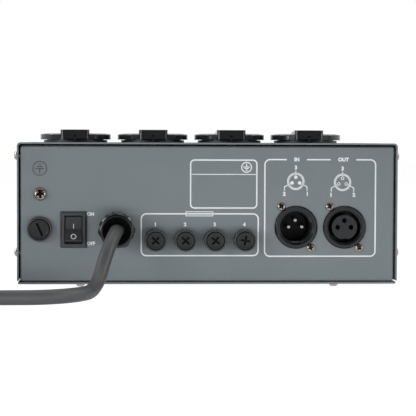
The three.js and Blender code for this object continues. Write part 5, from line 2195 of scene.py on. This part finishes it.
def make_tie():
    """A strap round the turns where they pass to the right of the coil's middle."""
    width = tie_outer - tie_inner
    middle = (tie_outer + tie_inner) / 2
    half = tie_width / 2
    inner = rectangle(width, tie_high - tie_sheet, 3.4 * mm, middle, tie_high / 2, 8)
    top = tie_high + tie_sheet / 2
    level = (top + hair) / 2
    outer = rectangle(width + 2 * tie_sheet, top - hair, 4.1 * mm, middle, level, 8)
    sections = [(outer, -half), (outer, half), (inner, half), (inner, -half)]
    strap = lofted("strap", sections, ring=True)
    across = (middle - 7 * mm, middle + 6 * mm)
    end = block("end", across, (top, tie_high + tie_sheet * 1.6), (-half, half))
    return gathered("coil_tie", [strap, softened(end, 0.25 * mm)])


tie_turn = Matrix.Rotation(math.pi / 2, 4, "X")
tie_place = Matrix.Translation((coil_middle.x, coil_middle.y, 0)) @ tie_turn
tie = dressed(make_tie(), cord_rubber, place=tie_place)
dressed(mains_lead, cord_rubber, ["mains_cord", "mains_cord_coil"])

# %% [markdown]
# The studio. The pack stands on a plain pale floor against white. The background's white must
# not light the object more, so it shows only to camera, glossy and transmission rays, through
# Light Path. The floor adds enough of its own light for those rays to read as white while it
# keeps the object's shadow. Glossy faces mirror it a little greyer than the camera sees it,
# which keeps their blacks deep.
#
# A key from the left and a weaker fill from the right light the rear panel. A low strip stands
# in for the light that a table throws back, so no glossy ray sees it. One lamp hangs above. Two
# rims and two side lamps draw the bright edges of the lid, the gland and the rings.

# %% Lay the floor
floor_size = 12.0
floor_drop = 0.02 * mm
floor_glow = 0.8
floor_gloss = 0.9
floor_paint = 0.82
floor_mirrored = 0.8
floor_white = 1.22


def grey(share):
    return (share, share, share, 1)


def make_floor():
    half = floor_size / 2
    sides = [(-1, -1), (1, -1), (1, 1), (-1, 1)]
    corners = [(x * half, y * half, -floor_drop) for x, y in sides]
    return shaped("floor", corners, [(0, 1, 2, 3)])


def floor_finish():
    """A white that glows for the camera and in glossy faces, and a diffuse one for the rest."""
    made = Finish("pale_floor", None)
    camera_ray = made.node("LightPath", {}, {}, "Is Camera Ray")
    clear_ray = made.node("LightPath", {}, {}, "Is Transmission Ray")
    gloss_ray = made.node("LightPath", {}, {}, "Is Glossy Ray")
    seen = (camera_ray + clear_ray) * floor_glow + gloss_ray * floor_gloss
    surface = made.node("BsdfDiffuse", {}, {"Color": grey(floor_paint)})
    shade = made.mixed(gloss_ray, grey(1), grey(floor_mirrored))
    glow = made.node("Emission", {}, {"Color": shade, "Strength": floor_white})
    mix = made.node("MixShader", {}, {0: seen, 1: surface, 2: glow})
    made.node("OutputMaterial", {}, {"Surface": mix})
    return made.material


floor = make_floor()
floor.data.materials.append(floor_finish())
print("floor:", floor_size, "m across")

# %% Hang white behind the pack
ambient = 0.08
gloss_behind = 1.0
gloss_before = 0.06


def make_world():
    """White to the camera, and dim to all that would light the pack. Glossy faces see it white
    behind the pack and nearly black before it, as in a dark room."""
    world = bpy.data.worlds.new("studio")
    bpy.context.scene.world = world
    made = Bench(world)
    camera_ray = made.node("LightPath", {}, {}, "Is Camera Ray")
    clear_ray = made.node("LightPath", {}, {}, "Is Transmission Ray")
    gloss_ray = made.node("LightPath", {}, {}, "Is Glossy Ray")
    where = made.node("TexCoord", {}, {}, "Generated")
    behind = made.node("SeparateXYZ", {}, {"Vector": where}, "Y") > -0.1
    mirrored = gloss_before + behind * (gloss_behind - gloss_before)
    white = camera_ray + clear_ray
    strength = white + gloss_ray * mirrored + (1 - white - gloss_ray) * ambient
    shade = made.node("Background", {}, {"Color": grey(1), "Strength": strength})
    made.node("OutputWorld", {}, {"Surface": shade})
    return world


print("background:", make_world().name, "with", ambient, "of room light")

# %% Light the studio
def softbox(name, place, aim_at, width, height, power, tint=(1, 1, 1)):
    lamp = bpy.data.lights.new(name, "AREA")
    lamp.shape = "RECTANGLE"
    lamp.size = width
    lamp.size_y = height
    lamp.energy = power
    lamp.color = tint
    stand = bpy.data.objects.new(name, lamp)
    stand.location = place
    stand.rotation_mode = "QUATERNION"
    stand.rotation_quaternion = (Vector(aim_at) - Vector(place)).to_track_quat("-Z", "Y")
    stand.visible_camera = False
    bpy.context.scene.collection.objects.link(stand)
    print("lamp:", name, power, "W")
    return stand


pack_middle = (0, 0, 0.05)
warm = (1.0, 0.95, 0.9)
softbox("key_left", (-1.0, -1.1, 0.38), pack_middle, 0.5, 0.5, 4.1)
softbox("fill_right", (0.9, -1.2, 0.5), pack_middle, 0.6, 0.6, 1.6, warm)
low_strip = softbox("fill_low", (0.0, -0.25, 0.012), (0, 0, 0.012), 0.4, 0.02, 0.22)
low_strip.visible_glossy = False
softbox("top", (0.1, 0.3, 1.6), pack_middle, 1.2, 0.9, 3.5)
softbox("rim_left", (-0.95, 0.05, 0.75), pack_middle, 0.25, 0.4, 4.2)
softbox("rim_right", (0.95, 0.05, 0.75), pack_middle, 0.25, 0.4, 3.2, warm)
softbox("side_left", (-1.0, -0.58, 0.17), pack_middle, 0.3, 0.34, 2.4)
softbox("side_right", (1.0, -0.58, 0.17), pack_middle, 0.3, 0.34, 1.6, warm)
